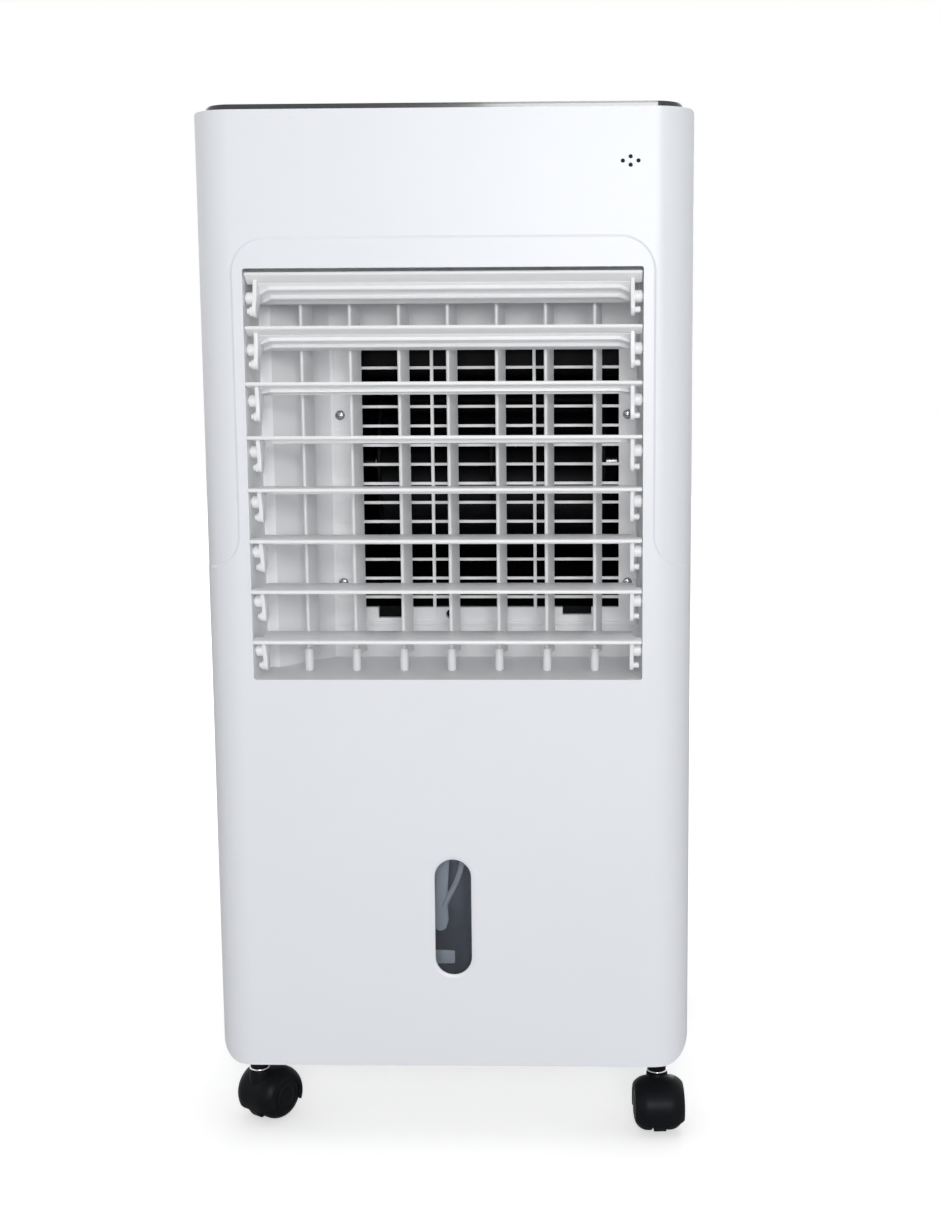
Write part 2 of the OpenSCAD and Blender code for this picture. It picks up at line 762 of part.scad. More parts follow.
module slat(i) {
    z0 = slat_rise - slat_t;
    nose_y = -4;
    rib_t = 1.3;
    rib_drop = 1.4;
    hub_r = 5;
    arm_r = 3;
    arm_pin_r = 1.7;
    color(white) translate([0, at(slat_axis_in), slat_z(i)]) rotate([-slat_tilts[i - 1], 0, 0]) {
        along_x(-slat_half, slat_half) polygon([
            [-slat_nose, z0], [-slat_nose, slat_rise], [nose_y, slat_rise], [nose_y, z0 + 0.3]]);
        along_x(-slat_plate_out, slat_plate_out) polygon([
            [nose_y - 0.2, z0], [nose_y - 0.2, slat_rise],
            [slat_tail, slat_rise - 0.9], [slat_tail, z0]]);
        for (y = [-2.4, 6.4]) along_x(-slat_plate_in - 0.1, slat_plate_in + 0.1)
            translate([y, z0 - rib_drop]) square([rib_t, rib_drop + 0.2]);
        for (s = [-1, 1]) {
            x0 = s > 0 ? slat_plate_in : -slat_plate_out;
            along_x(x0, x0 + slat_plate_t) {
                polygon([[-9, z0 + 0.3], [slat_tail - 4, z0 + 0.3], [hub_r, -1], [-hub_r, -1]]);
                circle(hub_r);
                translate([-arm_r, -slat_crank]) square([2 * arm_r, slat_crank]);
                translate([0, -slat_crank]) circle(arm_r);
            }
            boss_x0 = s > 0 ? slat_plate_out - 0.1 : -slat_half;
            bar_x(boss_x0, boss_x0 + slat_boss_len + 0.1, 0, 0, slat_boss_r);
            pin_x0 = s > 0 ? slat_half - 0.1 : -slat_half - slat_side_gap - slat_pin_len;
            bar_x(pin_x0, pin_x0 + slat_side_gap + slat_pin_len + 0.1, 0, 0, slat_pin_r);
            crank_x0 = s > 0 ? slat_plate_out - 0.1 : -slat_half + 0.6;
            bar_x(crank_x0, crank_x0 + slat_boss_len - 0.5, 0, -slat_crank, arm_pin_r);
        }
    }
}

// The middle vane has a longer upper pin, which the swing motor turns
module vane(i) {
    long_pin = i == (vane_count + 1) / 2 ? 9 : 0;
    color(white) translate([vane_x(i), at(vane_axis_in), 0]) rotate([0, 0, -vane_yaw]) {
        block(-vane_t / 2, vane_t / 2, -1.5, vane_tail, vane_z0, vane_z1);
        bar_z(outlet_z0 + 0.3, vane_z0 + 4, 0, 0, vane_peg_r);
        bar_z(outlet_z0 - wall + 0.2, outlet_z0 + 0.4, 0, 0, vane_pin_r);
        bar_z(vane_z1 - 4, outlet_z1 - 0.3, 0, 0, vane_peg_r);
        bar_z(outlet_z1 - 0.4, outlet_z1 + wall - 0.2 + long_pin, 0, 0, vane_pin_r);
        bar_z(vane_z1 - 2, link_z0 + link_t + 1.5, 0, vane_crank, crank_pin_r);
    }
}

module vane_link() {
    half_w = 3.5;
    past = 5;
    dx = vane_crank * sin(vane_yaw);
    y = at(vane_axis_in) + vane_crank * cos(vane_yaw);
    color(inner_white) difference() {
        block(vane_x(1) + dx - past, vane_x(vane_count) + dx + past, y - half_w, y + half_w,
            link_z0, link_z0 + link_t);
        for (i = [1:vane_count])
            bar_z(link_z0 - 1, link_z0 + link_t + 1, vane_x(i) + dx, y, crank_pin_r + play);
    }
}

module swing_motor() {
    case_r = 14;
    case_h = 18;
    ear = 21;
    ear_w = 8;
    z0 = outlet_z1 + wall;
    x = vane_x((vane_count + 1) / 2);
    y = at(vane_axis_in);
    color(steel) difference() {
        union() {
            bar_z(z0, z0 + case_h, x, y, case_r);
            block(x - ear, x + ear, y - ear_w / 2, y + ear_w / 2, z0, z0 + 1.5);
        }
        bar_z(z0 - 1, z0 + 10, x, y, vane_pin_r + play);
    }
}

// The drum part of the blower casing, seen from the right
module casing_outline(grow) {
    half_h = drum_r + grow;
    intersection() {
        union() {
            translate([at(seat_in), mouth_zc - half_h]) square([drum_in - seat_in, 2 * half_h]);
            translate([at(drum_in), mouth_zc]) circle(half_h);
        }
        translate([at(seat_in), mouth_zc - half_h - 1])
            square([drum_in - seat_in + half_h + 1, 2 * half_h + 2]);
    }
}

module blower_casing() {
    inlet_r = 50;
    tongue_r = 6;
    bearing_r = shaft_r + 5;
    arm_w = 6;
    color(black) {
        difference() {
            union() {
                along_x(mouth_x0 - casing_t, mouth_x1 + casing_t) casing_outline(casing_t);
                facing(seat_in, seat_in + casing_t) guard_outline();
            }
            along_x(mouth_x0, mouth_x1) casing_outline(0);
            facing(seat_in - 1, seat_in + casing_t + 1)
                translate([(mouth_x0 + mouth_x1) / 2, mouth_zc]) square([mouth_w, mouth_h], center = true);
            bar_x(mouth_x1 - 1, mouth_x1 + casing_t + 1, at(fan_in), fan_zc, inlet_r);
            bar_x(mouth_x0 - casing_t - 1, mouth_x0 + 1, at(fan_in), fan_zc, shaft_r + 2);
            for (x = guard_screw_x, z = guard_screw_z)
                bar_y(seat_in - 1, seat_in + casing_t + 1, x, z, screw_r + play);
        }
        // Cut-off tongue under the upper lip
        along_x(mouth_x0 - 0.1, mouth_x1 + 0.1) {
            translate([at(seat_in + 8), mouth_z1 - 2 * tongue_r])
                square([2 * tongue_r, 2 * tongue_r + 0.1]);
            translate([at(seat_in + 8 + tongue_r), mouth_z1 - 2 * tongue_r]) circle(tongue_r);
        }
        // Spider that carries the far bearing
        difference() {
            union() {
                bar_x(mouth_x1, mouth_x1 + casing_t + 4, at(fan_in), fan_zc, bearing_r);
                for (a = [90, 210, 330]) translate([mouth_x1 + 0.2, at(fan_in), fan_zc])
                    rotate([a, 0, 0]) translate([0, -arm_w / 2, shaft_r + 1])
                        cube([casing_t - 0.4, arm_w, inlet_r - shaft_r + 1]);
            }
            bar_x(mouth_x1 - 1, mouth_x1 + 9, at(fan_in), fan_zc, shaft_r + play);
        }
    }
}

module fan_motor() {
    x1 = mouth_x0 - casing_t;
    color(steel) difference() {
        union() {
            bar_x(x1 - motor_len, x1 - 3, at(fan_in), fan_zc, motor_r);
            bar_x(x1 - 4, x1, at(fan_in), fan_zc, motor_r - 6);
            bar_x(x1 - motor_len - 3, x1 - motor_len + 1, at(fan_in), fan_zc, 12);
        }
        bar_x(x1 - motor_len + 4, x1 + 1, at(fan_in), fan_zc, shaft_r + play);
    }
}

module fan_shaft() {
    color(steel) bar_x(mouth_x0 - casing_t - motor_len + 6, mouth_x1 + casing_t + 5,
        at(fan_in), fan_zc, shaft_r);
}

// A drum of blades between two rings, on a disc in the middle
module fan_wheel() {
    mid_x = (fan_x0 + fan_x1) / 2;
    ring_w = 9;
    ring_t = 3;
    blade_t = 1.4;
    color("#222326") difference() {
        union() {
            for (x = [fan_x0, fan_x1 - ring_t]) difference() {
                bar_x(x, x + ring_t, at(fan_in), fan_zc, fan_r);
                bar_x(x - 1, x + ring_t + 1, at(fan_in), fan_zc, fan_r - ring_w);
            }
            bar_x(mid_x - ring_t / 2, mid_x + ring_t / 2, at(fan_in), fan_zc, fan_r - 0.5);
            bar_x(mid_x - 14, mid_x + 14, at(fan_in), fan_zc, fan_hub_r);
            for (k = [0:fan_blades - 1])
                translate([fan_x0 + 1, at(fan_in), fan_zc]) rotate([k * 360 / fan_blades, 0, 0])
                    translate([0, 0, fan_r - ring_w + 0.5]) rotate([35, 0, 0])
                        translate([0, -blade_t / 2, -1])
                            cube([fan_x1 - fan_x0 - 2, blade_t, ring_w]);
        }
        bar_x(fan_x0 - 1, fan_x1 + 1, at(fan_in), fan_zc, shaft_r + play);
    }
}

module drip_deck() {
    rib_x = 40;
    rib_t = 2.4;
    color(inner_white) difference() {
        intersection() {
            cabinet(wall + fit);
            union() {
                block(-body_w, body_w, at(0), at(body_d), deck_z, deck_z + wall);
                for (s = [-1, 1])
                    block(s * rib_x - rib_t / 2, s * rib_x + rib_t / 2,
                        at(seat_in + 12), at(tunnel_in - 8), deck_z, mouth_zc - drum_r);
            }
        }
        along_x(-body_w, body_w) casing_outline(casing_t + fit);
        bar_z(deck_z - 1, deck_z + wall + 1, pump_x, at(pump_in), hose_r + 1);
        hose_run(hose_r + 1);
        block(-6, 6, at(body_d - wall - 4.5), at(body_d), deck_z - 1, deck_z + wall + 1);
        for (s = [-1, 1]) translate([s * body_w / 2, at(seam_in - 1), deck_z])
            cube([2 * (wall + seam_lip_t + fit), 15, 4 * wall], center = true);
        for (k = [-2:2]) bar_z(deck_z - 1, deck_z + wall + 1, k * 22, at(body_d - 40), 4);
    }
}

module cooling_pad() {
    edge = 4;
    d0 = tunnel_in + 9;
    color("#a98d5c") block(-intake_half_w + edge, intake_half_w - edge,
        at(d0), at(d0 + cassette_d - 7), intake_z0 + edge, intake_z1 - edge);
}

module pad_cassette() {
    gap = 0.3;
    side_t = 3;
    edge = 12;
    rows = 7;
    bar = 3;
    d0 = tunnel_in + 6;
    h = intake_z1 - intake_z0 - 2 * gap;
    zc = (intake_z0 + intake_z1) / 2;
    color("#d5d8dd") {
        difference() {
            facing(d0, d0 + cassette_d - 4) translate([0, zc])
                square([2 * (intake_half_w - gap), h], center = true);
            facing(d0 + 2, d0 + cassette_d) translate([0, zc])
                square([2 * (intake_half_w - gap - side_t), h - 2 * side_t], center = true);
            facing(d0 - 1, d0 + 3) translate([0, zc])
                square([2 * (intake_half_w - edge), h - 2 * edge], center = true);
            block(-intake_half_w + edge, intake_half_w - edge, at(d0 + 4), at(d0 + cassette_d - 8),
                intake_z1 - 6, intake_z1 + 1);
        }
        for (k = [1:rows - 1]) {
            z = intake_z0 + k * h / rows;
            block(-intake_half_w + edge - 2, intake_half_w - edge + 2, at(d0), at(d0 + 2),
                z - bar / 2, z + bar / 2);
        }
        for (x = mullions) block(x - bar / 2, x + bar / 2, at(d0), at(d0 + 2),
            intake_z0 + edge - 2, intake_z1 - edge + 2);
    }
}

module dust_filter() {
    edge = 3;
    d0 = body_d - wall - 3.9;
    color("#3a3d42") block(-intake_half_w + edge, intake_half_w - edge, at(d0), at(d0 + 1),
        intake_z0 + edge, intake_z1 - edge);
}

module rear_grille() {
    rim = 6;
    edge = 5;
    bar = 2.8;
    post = 3;
    h = intake_z1 - intake_z0;
    zc = (intake_z0 + intake_z1) / 2;
    rows = floor((h - 2 * rim) / grille_pitch);
    d0 = body_d + fit;
    color(white) {
        difference() {
            facing(d0, body_d + grille_out) translate([0, zc])
                rounded(2 * (intake_half_w + rim), h + 2 * rim, 8);
            facing(d0 - 1, body_d + grille_out + 1) translate([0, zc])
                square([2 * (intake_half_w - edge), h - 2 * edge], center = true);
        }
        difference() {
            facing(body_d - wall - 2.8, d0 + 0.1) translate([0, zc])
                square([2 * intake_half_w - 1, h - 1], center = true);
            facing(body_d - wall - 4, d0 + 1) translate([0, zc])
                square([2 * (intake_half_w - edge), h - 2 * edge], center = true);
        }
        for (k = [0:rows]) {
            z = intake_z0 + rim + k * (h - 2 * rim) / rows;
            block(-intake_half_w + edge - 1, intake_half_w - edge + 1,
                at(body_d + 0.6), at(body_d + grille_out - 0.4), z - bar / 2, z + bar / 2);
        }
        for (x = mullions) block(x - post / 2, x + post / 2, at(body_d - wall), at(body_d + 1),
            intake_z0 + edge - 1, intake_z1 - edge + 1);
    }
}

module water_tray() {
    tray_t = 1.8;
    d0 = tunnel_in;
    d1 = body_d - wall - fit;
    color(inner_white) {
        difference() {
            block(-tray_half_w, tray_half_w, at(d0), at(d1), tray_z0, tray_z0 + tray_h);
            block(-tray_half_w + tray_t, tray_half_w - tray_t, at(d0 + tray_t), at(d1 - tray_t),
                tray_z0 + tray_t, tray_z0 + tray_h + 1);
            // Slot that lets the water down onto the pad
            block(-intake_half_w + 14, intake_half_w - 14, at(d0 + 13), at(d0 + 16),
                tray_z0 - 1, tray_z0 + tray_t + 1);
        }
        bar_y(riser_in + tray_bend, d0 + 0.1, riser_x, tray_spigot_z, hose_r + 1);
    }
}

// The hose's level run from above the pump to the foot of the riser
module hose_run(r) {
    dx = riser_x - pump_x;
    dy = riser_in - pump_in;
    translate([pump_x, at(pump_in), 0]) rotate([0, 0, atan2(dy, dx)])
        bar_x(0, sqrt(dx * dx + dy * dy), 0, hose_run_z, r);
}

module riser_hose() {
    elbow_r = hose_r + 0.6;
    color("#c9ccd2") {
        bar_z(pump_z1 + pump_neck, hose_run_z, pump_x, at(pump_in), hose_r);
        translate([pump_x, at(pump_in), hose_run_z]) sphere(elbow_r);
        hose_run(hose_r);
        translate([riser_x, at(riser_in), hose_run_z]) sphere(elbow_r);
        bar_z(hose_run_z, tray_spigot_z, riser_x, at(riser_in), hose_r);
        translate([riser_x, at(riser_in), tray_spigot_z]) sphere(elbow_r);
        bar_y(riser_in, riser_in + tray_bend, riser_x, tray_spigot_z, hose_r);
    }
}

module water_pump() {
    color(black) translate([pump_x, at(pump_in), 0]) {
        translate([0, 0, pump_z0]) linear_extrude(pump_h) rounded(pump_foot[0], pump_foot[1], 7);
        bar_z(pump_z1 - 1, pump_z1 + pump_neck, 0, 0, hose_r + 1.5);
        for (s = [-1, 1]) bar_z(pump_z1 - 1, deck_z, s * 14, 0, 2.5);
    }
}

// An open tub behind a fascia, with a hand pocket let into its rear
module water_tank() {
    d1 = body_d - 3;
    color(smoke, 0.6) {
        difference() {
            union() {
                block(-tank_half_w, tank_half_w, at(tank_in), at(d1 + 0.1), tank_z0, tank_z1);
                block(-tank_half_w - fascia_side, tank_half_w + fascia_side, at(d1), at(body_d),
                    tank_z0, fascia_z1);
            }
            difference() {
                block(-tank_half_w + tank_t, tank_half_w - tank_t, at(tank_in + tank_t), at(d1),
                    tank_z0 + tank_t, tank_z1 + 1);
                block(-pocket_w / 2 - tank_t, pocket_w / 2 + tank_t,
                    at(body_d - pocket_d - tank_t), at(body_d),
                    tank_z1 - pocket_drop - pocket_h - tank_t, tank_z1 - pocket_drop + tank_t);
            }
            block(-pocket_w / 2, pocket_w / 2, at(body_d - pocket_d), at(body_d + 1),
                tank_z1 - pocket_drop - pocket_h, tank_z1 - pocket_drop);
        }
    }
}

module tank_latch() {
    color(white) {
        facing(body_d + fit, body_d + 3) translate([0, latch_z]) rotate(90) stadium(10, 25);
        bar_y(body_d - wall - 2, body_d + fit + 0.1, 0, latch_z, latch_pin_r);
        bar_y(body_d - wall - 3.5, body_d - wall - fit, 0, latch_z, 2 * latch_pin_r);
    }
}

module cord_gland() {
    flange_out = 3;
    tail = 8;
    z = low_z + gland_up;
    color(black) difference() {
        union() {
            bar_y(body_d, body_d + flange_out, gland_x, z, gland_flange_r);
            bar_y(body_d - wall - tail, body_d + 0.1, gland_x, z, gland_r);
        }
        bar_y(body_d - wall - tail - 1, body_d + flange_out + 1, gland_x, z, gland_bore_r);
    }
}

// Sockets in the base, each with a collar at its foot
module castor_sockets() {
    collar_t = 1.2;
    collar_r = socket_r + 0.7;
    color(black) for (p = castor_places) difference() {
        union() {
            bar_z(collar_z0, socket_top, p[0], at(p[1]), socket_r);
            bar_z(collar_z0, collar_z0 + collar_t, p[0], at(p[1]), collar_r);
        }
        bar_z(collar_z0 - 1, socket_top + 1, p[0], at(p[1]), stem_r + play);
    }
}

module castor_stems() {
    color(steel) for (p = castor_places)
        bar_z(stem_z0, socket_top - 1, p[0], at(p[1]), stem_r);
}

module at_castor(i) {
    p = castor_places[i - 1];
    translate([p[0], at(p[1]), 0]) rotate([0, 0, p[2]]) children();
}

// Half of a domed section round the axle, grown all round and run past both sides
module castor_outline(grow, past) {
    half = wheel_pair_w / 2;
    flat = half - wheel_shoulder;
    intersection() {
        union() {
            translate([0, -flat]) square([wheel_r + grow, 2 * flat]);
            translate([0, -half - past]) square([wheel_r - wheel_shoulder, 2 * (half + past)]);
            for (s = [-1, 1]) translate([wheel_r - wheel_shoulder, s * flat])
                circle(wheel_shoulder + grow);
        }
        translate([0, -half - past]) square([wheel_d, 2 * (half + past)]);
    }
}

module castor_hood(i) {
    half = wheel_pair_w / 2;
    far = 2 * hood_r;
    color(black) at_castor(i) difference() {
        union() {
            difference() {
                union() {
                    translate([0, -trail, wheel_r]) rotate([0, 90, 0])
                        rotate_extrude() castor_outline(hood_gap + hood_t, 0);
                    bar_z(wheel_r, hood_top_z, 0, 0, socket_r + 1);
                }
                translate([0, -trail, wheel_r]) rotate([0, 90, 0])
                    rotate_extrude() castor_outline(hood_gap, 1);
                block(-half - 1, half + 1, -trail - far, -trail + far, -far, wheel_r - hood_skirt);
            }
            difference() {
                bar_x(-web_t / 2, web_t / 2, -trail, wheel_r, hood_r - 0.4);
                block(-web_t, web_t, -trail - far, -trail + far, -far, web_floor);
            }
        }
        bar_z(stem_z0 - 1, hood_top_z + 1, 0, 0, stem_r + play);
        bar_x(-half, half, -trail, wheel_r, axle_r + play);
    }
}

module castor_wheel_outline() {
    intersection() {
        castor_outline(0, 0);
        translate([axle_r + play, web_t / 2 + web_gap]) square([wheel_d, wheel_d]);
    }
}

module castor_wheels(i) {
    color(black) at_castor(i) translate([0, -trail, wheel_r]) {
        for (s = [0, 1]) mirror([s, 0, 0]) rotate([0, 90, 0]) rotate_extrude() castor_wheel_outline();
        color(steel) bar_x(-wheel_pair_w / 2 + 1, wheel_pair_w / 2 - 1, 0, 0, axle_r);
    }
}

front_shell();
rear_shell();
base_pan();
top_cover();
control_panel();
control_board();
indicator_lenses();
level_window();
ir_receiver();
louvre_frame();
outlet_guard();
guard_screws();
shell_screws();
swing_motor();
vane_link();
blower_casing();
fan_motor();
fan_wheel();
fan_shaft();
drip_deck();
cooling_pad();
pad_cassette();
dust_filter();
rear_grille();
water_tray();
riser_hose();
water_pump();
water_tank();
tank_latch();
cord_gland();
castor_sockets();
castor_stems();
for (i = [1:slat_count]) slat(i);
for (i = [1:vane_count]) vane(i);
for (i = [1:button_count]) button(i);
for (i = [1:4]) castor_hood(i);
for (i = [1:4]) castor_wheels(i);
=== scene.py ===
"""Looks of a portable evaporative air cooler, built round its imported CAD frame.

Each sub-assembly is a class. Its fields hold sizes in metres, its methods work out the
surfaces with numpy, and its build method puts every piece on the body that carries it.
"""

import json
import logging
import math
from dataclasses import dataclass, field
from enum import Enum

import bmesh
import bpy
import numpy as np
from mathutils import Matrix, Vector


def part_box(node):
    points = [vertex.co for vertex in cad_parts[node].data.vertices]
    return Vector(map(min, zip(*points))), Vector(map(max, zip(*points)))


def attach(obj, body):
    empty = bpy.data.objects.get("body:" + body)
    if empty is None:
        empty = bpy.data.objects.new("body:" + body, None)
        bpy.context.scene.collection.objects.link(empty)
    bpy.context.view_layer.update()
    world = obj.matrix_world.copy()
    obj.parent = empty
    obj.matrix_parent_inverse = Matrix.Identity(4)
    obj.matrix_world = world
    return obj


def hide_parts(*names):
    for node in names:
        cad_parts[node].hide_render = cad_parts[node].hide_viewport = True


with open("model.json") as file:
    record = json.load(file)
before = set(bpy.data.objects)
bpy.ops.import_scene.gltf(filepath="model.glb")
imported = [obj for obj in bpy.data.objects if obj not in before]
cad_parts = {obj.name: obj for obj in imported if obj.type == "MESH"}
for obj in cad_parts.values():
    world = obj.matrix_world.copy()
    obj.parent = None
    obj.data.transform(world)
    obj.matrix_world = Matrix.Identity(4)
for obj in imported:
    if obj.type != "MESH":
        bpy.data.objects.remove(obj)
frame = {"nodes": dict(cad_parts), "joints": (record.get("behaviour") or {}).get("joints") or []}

Array = np.ndarray
Socket = bpy.types.NodeSocket
Pair = tuple[float, float]
Spot = tuple[float, float, float]

log = logging.getLogger("cooler")

MM = 0.001
MERGE = 0.002 * MM
RIGHT, REAR, UP = (1.0, 0.0, 0.0), (0.0, 1.0, 0.0), (0.0, 0.0, 1.0)
FRONT, DOWN = (0.0, -1.0, 0.0), (0.0, 0.0, -1.0)
WHITE = (1.0, 1.0, 1.0, 1.0)
JOINTS = {joint["name"]: joint for joint in frame["joints"]}
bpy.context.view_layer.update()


class Slot(Enum):
    """Material slots of the record that pieces take their finish from."""

    CABINET = "cabinet_white"
    INNER = "inner_white"
    SLAT = "slat_white"
    PANEL = "panel_black"
    MOULDED = "moulded_black"
    BUTTON = "button_grey"
    STEEL = "steel"
    CHROME = "chrome"
    WINDOW = "window_clear"
    TANK = "tank_smoke"
    LENS = "lens_blue"
    BOARD = "board_green"
    PAD = "pad_paper"
    MESH = "filter_mesh"
    HOSE = "hose_grey"
    GLAND = "gland_rubber"


class Pattern(Enum):
    """How a finish varies over its surface."""

    MOULDED = "fine eroded grain of a moulding tool"
    BRUSHED = "long fine scratches"
    PAPER = "fibres with water stains"
    TRACES = "copper tracks under lacquer"


class Edge(Enum):
    """How wide the rounded edges of a moulded piece are."""

    FINE = 0.35 * MM
    THIN = 0.4 * MM
    MILD = 0.5 * MM
    SOFT = 0.6 * MM
    FULL = 0.7 * MM
    ROUND = 1.0 * MM


class Graph:
    """A node tree with short calls to add and join nodes."""

    def __init__(self, owner: bpy.types.Material | bpy.types.World) -> None:
        """Starts an empty tree.

        Args:
            owner: the material or world that the tree belongs to.
        """
        owner.use_nodes = True
        self.tree = owner.node_tree
        self.tree.nodes.clear()

    def add(self, kind: str, **settings: object) -> bpy.types.Node:
        """Adds a node.

        Args:
            kind: the node's type without its ShaderNode prefix.
            settings: properties of the node, or values of its input sockets where the
                name is that of a socket with its spaces written as underscores.

        Returns:
            The new node.
        """
        node = self.tree.nodes.new("ShaderNode" + kind)
        for key, value in settings.items():
            if hasattr(node, key):
                setattr(node, key, value)
            else:
                node.inputs[key.replace("_", " ")].default_value = value
        return node

    def join(self, source: Socket, target: Socket) -> None:
        """Links two sockets."""
        self.tree.links.new(source, target)

    def noise(self, coords: Socket, scale: float, detail: float = 2.0) -> Socket:
        """Adds a noise texture.

        Args:
            coords: socket that gives the coordinates.
            scale: waves to the metre.
            detail: octaves of finer noise.

        Returns:
            The noise's factor socket.
        """
        node = self.add("TexNoise", Scale=scale, Detail=detail)
        self.join(coords, node.inputs["Vector"])
        return node.outputs["Fac"]

    def ramp(self, source: Socket, old: Pair, new: Pair) -> Socket:
        """Maps one range of values onto another and holds its ends.

        Args:
            source: socket that gives the value.
            old: first and last value taken in.
            new: first and last value given out.

        Returns:
            The mapped socket.
        """
        node = self.add("MapRange", From_Min=old[0], From_Max=old[1], To_Min=new[0], To_Max=new[1])
        self.join(source, node.inputs["Value"])
        return node.outputs["Result"]

    def calc(self, operation: str, first: Socket, second: Socket | float) -> Socket:
        """Works out one value from two.

        Args:
            operation: name of the operation.
            first: socket of the first value.
            second: socket of the second value, or the value.

        Returns:
            The result's socket.
        """
        node = self.add("Math", operation=operation)
        self.join(first, node.inputs[0])
        if isinstance(second, float):
            node.inputs[1].default_value = second
        else:
            self.join(second, node.inputs[1])
        return node.outputs[0]

    def blend(self, factor: Socket, low: tuple[float, ...], high: tuple[float, ...]) -> Socket:
        """Mixes two colours.

        Args:
            factor: socket from 0 to 1.
            low: colour at 0.
            high: colour at 1.

        Returns:
            The mixed colour's socket.
        """
        node = self.add("Mix", data_type="RGBA")
        node.inputs["A"].default_value = low
        node.inputs["B"].default_value = high
        self.join(factor, node.inputs["Factor"])
        return node.outputs["Result"]

    def surface(self, shader: Socket, kind: str = "OutputMaterial") -> None:
        """Joins the finished shader to an output node of the given kind."""
        self.join(shader, self.add(kind).inputs["Surface"])


@dataclass(frozen=True)
class Finish:
    """One finish of the object.

    Attributes:
        slot: record slot that it belongs to.
        colour: base colour, linear.
        roughness: mean roughness.
        metallic: 1 for metal.
        coat: weight of a clear coat.
        clear: weight of light passed through.
        ior: refraction index.
        specular: level of the gloss.
        variant: word that tells apart two finishes of one slot.
        grain: size of the fine grain, metres.
        depth: height of the fine grain, metres.
        tone: relative spread of the colour.
        pattern: kind of variation.
        grain_range: values of the grain's noise that the roughness is spread over.
        rough_spread: relative spread of the roughness.
        brush: stretch of brushed scratches.
        stain_scale: slow waves to the metre.
        fibre_scale: paper fibres to the metre.
        trace_scale: copper tracks to the metre.
    """

    slot: Slot
    colour: Spot
    roughness: float = 0.4
    metallic: float = 0.0
    coat: float = 0.0
    clear: float = 0.0
    ior: float = 1.5
    specular: float = 0.5
    variant: str = ""
    grain: float = 0.6 * MM
    depth: float = 0.006 * MM
    tone: float = 0.03
    pattern: Pattern = Pattern.MOULDED
    grain_range: Pair = (0.3, 0.7)
    rough_spread: float = 0.14
    brush: Spot = (1.0, 14.0, 14.0)
    stain_scale: float = 9.0
    fibre_scale: float = 420.0
    trace_scale: float = 160.0

    def shades(self) -> tuple[tuple[float, ...], tuple[float, ...]]:
        """Works out how far the colour varies.

        Returns:
            The darkest and the lightest tone of the colour.
        """
        low = tuple(c * (1 - self.tone) for c in self.colour) + (1.0,)
        high = tuple(min(1.0, c * (1 + self.tone)) for c in self.colour) + (1.0,)
        return low, high

    def material(self) -> bpy.types.Material:
        """Makes the material, once for each finish.

        Returns:
            The material with its node tree.
        """
        name = "finish_" + self.slot.value + self.variant
        known = bpy.data.materials.get(name)
        if known is not None:
            return known
        made = bpy.data.materials.new(name)
        graph = Graph(made)
        coords = graph.add("TexCoord").outputs["Object"]
        if self.pattern is Pattern.BRUSHED:
            stretch = graph.add("Mapping", Scale=self.brush)
            graph.join(coords, stretch.inputs["Vector"])
            coords = stretch.outputs["Vector"]
        shader = graph.add("BsdfPrincipled", Metallic=self.metallic, IOR=self.ior,
                           Coat_Weight=self.coat, Coat_Roughness=0.06,
                           Specular_IOR_Level=self.specular, Transmission_Weight=self.clear)
        fine = graph.noise(coords, 1.0 / self.grain)
        tint = graph.blend(self.tones(graph, coords), *self.shades())
        graph.join(tint, shader.inputs["Base Color"])
        least, most = 1 - self.rough_spread, 1 + self.rough_spread
        rough = graph.ramp(fine, self.grain_range, (self.roughness * least, self.roughness * most))
        graph.join(rough, shader.inputs["Roughness"])
        bump = graph.add("Bump", Strength=0.6, Distance=self.depth)
        graph.join(fine, bump.inputs["Height"])
        graph.join(bump.outputs["Normal"], shader.inputs["Normal"])
        graph.surface(shader.outputs["BSDF"])
        return made

    def tones(self, graph: Graph, coords: Socket) -> Socket:
        """Chooses what steers the finish between its two tones.

        Args:
            graph: the tree to add to.
            coords: coordinates on the object.

        Returns:
            A factor socket.
        """
        if self.pattern is Pattern.TRACES:
            cells = graph.add("TexBrick", Scale=self.trace_scale)
            graph.join(coords, cells.inputs["Vector"])
            return cells.outputs["Fac"]
        broad = graph.noise(coords, self.stain_scale, 3.0)
        if self.pattern is Pattern.PAPER:
            fibres = graph.noise(coords, self.fibre_scale, 4.0)
            return graph.calc("MULTIPLY", graph.calc("MULTIPLY", broad, fibres), 2.2)
        return broad


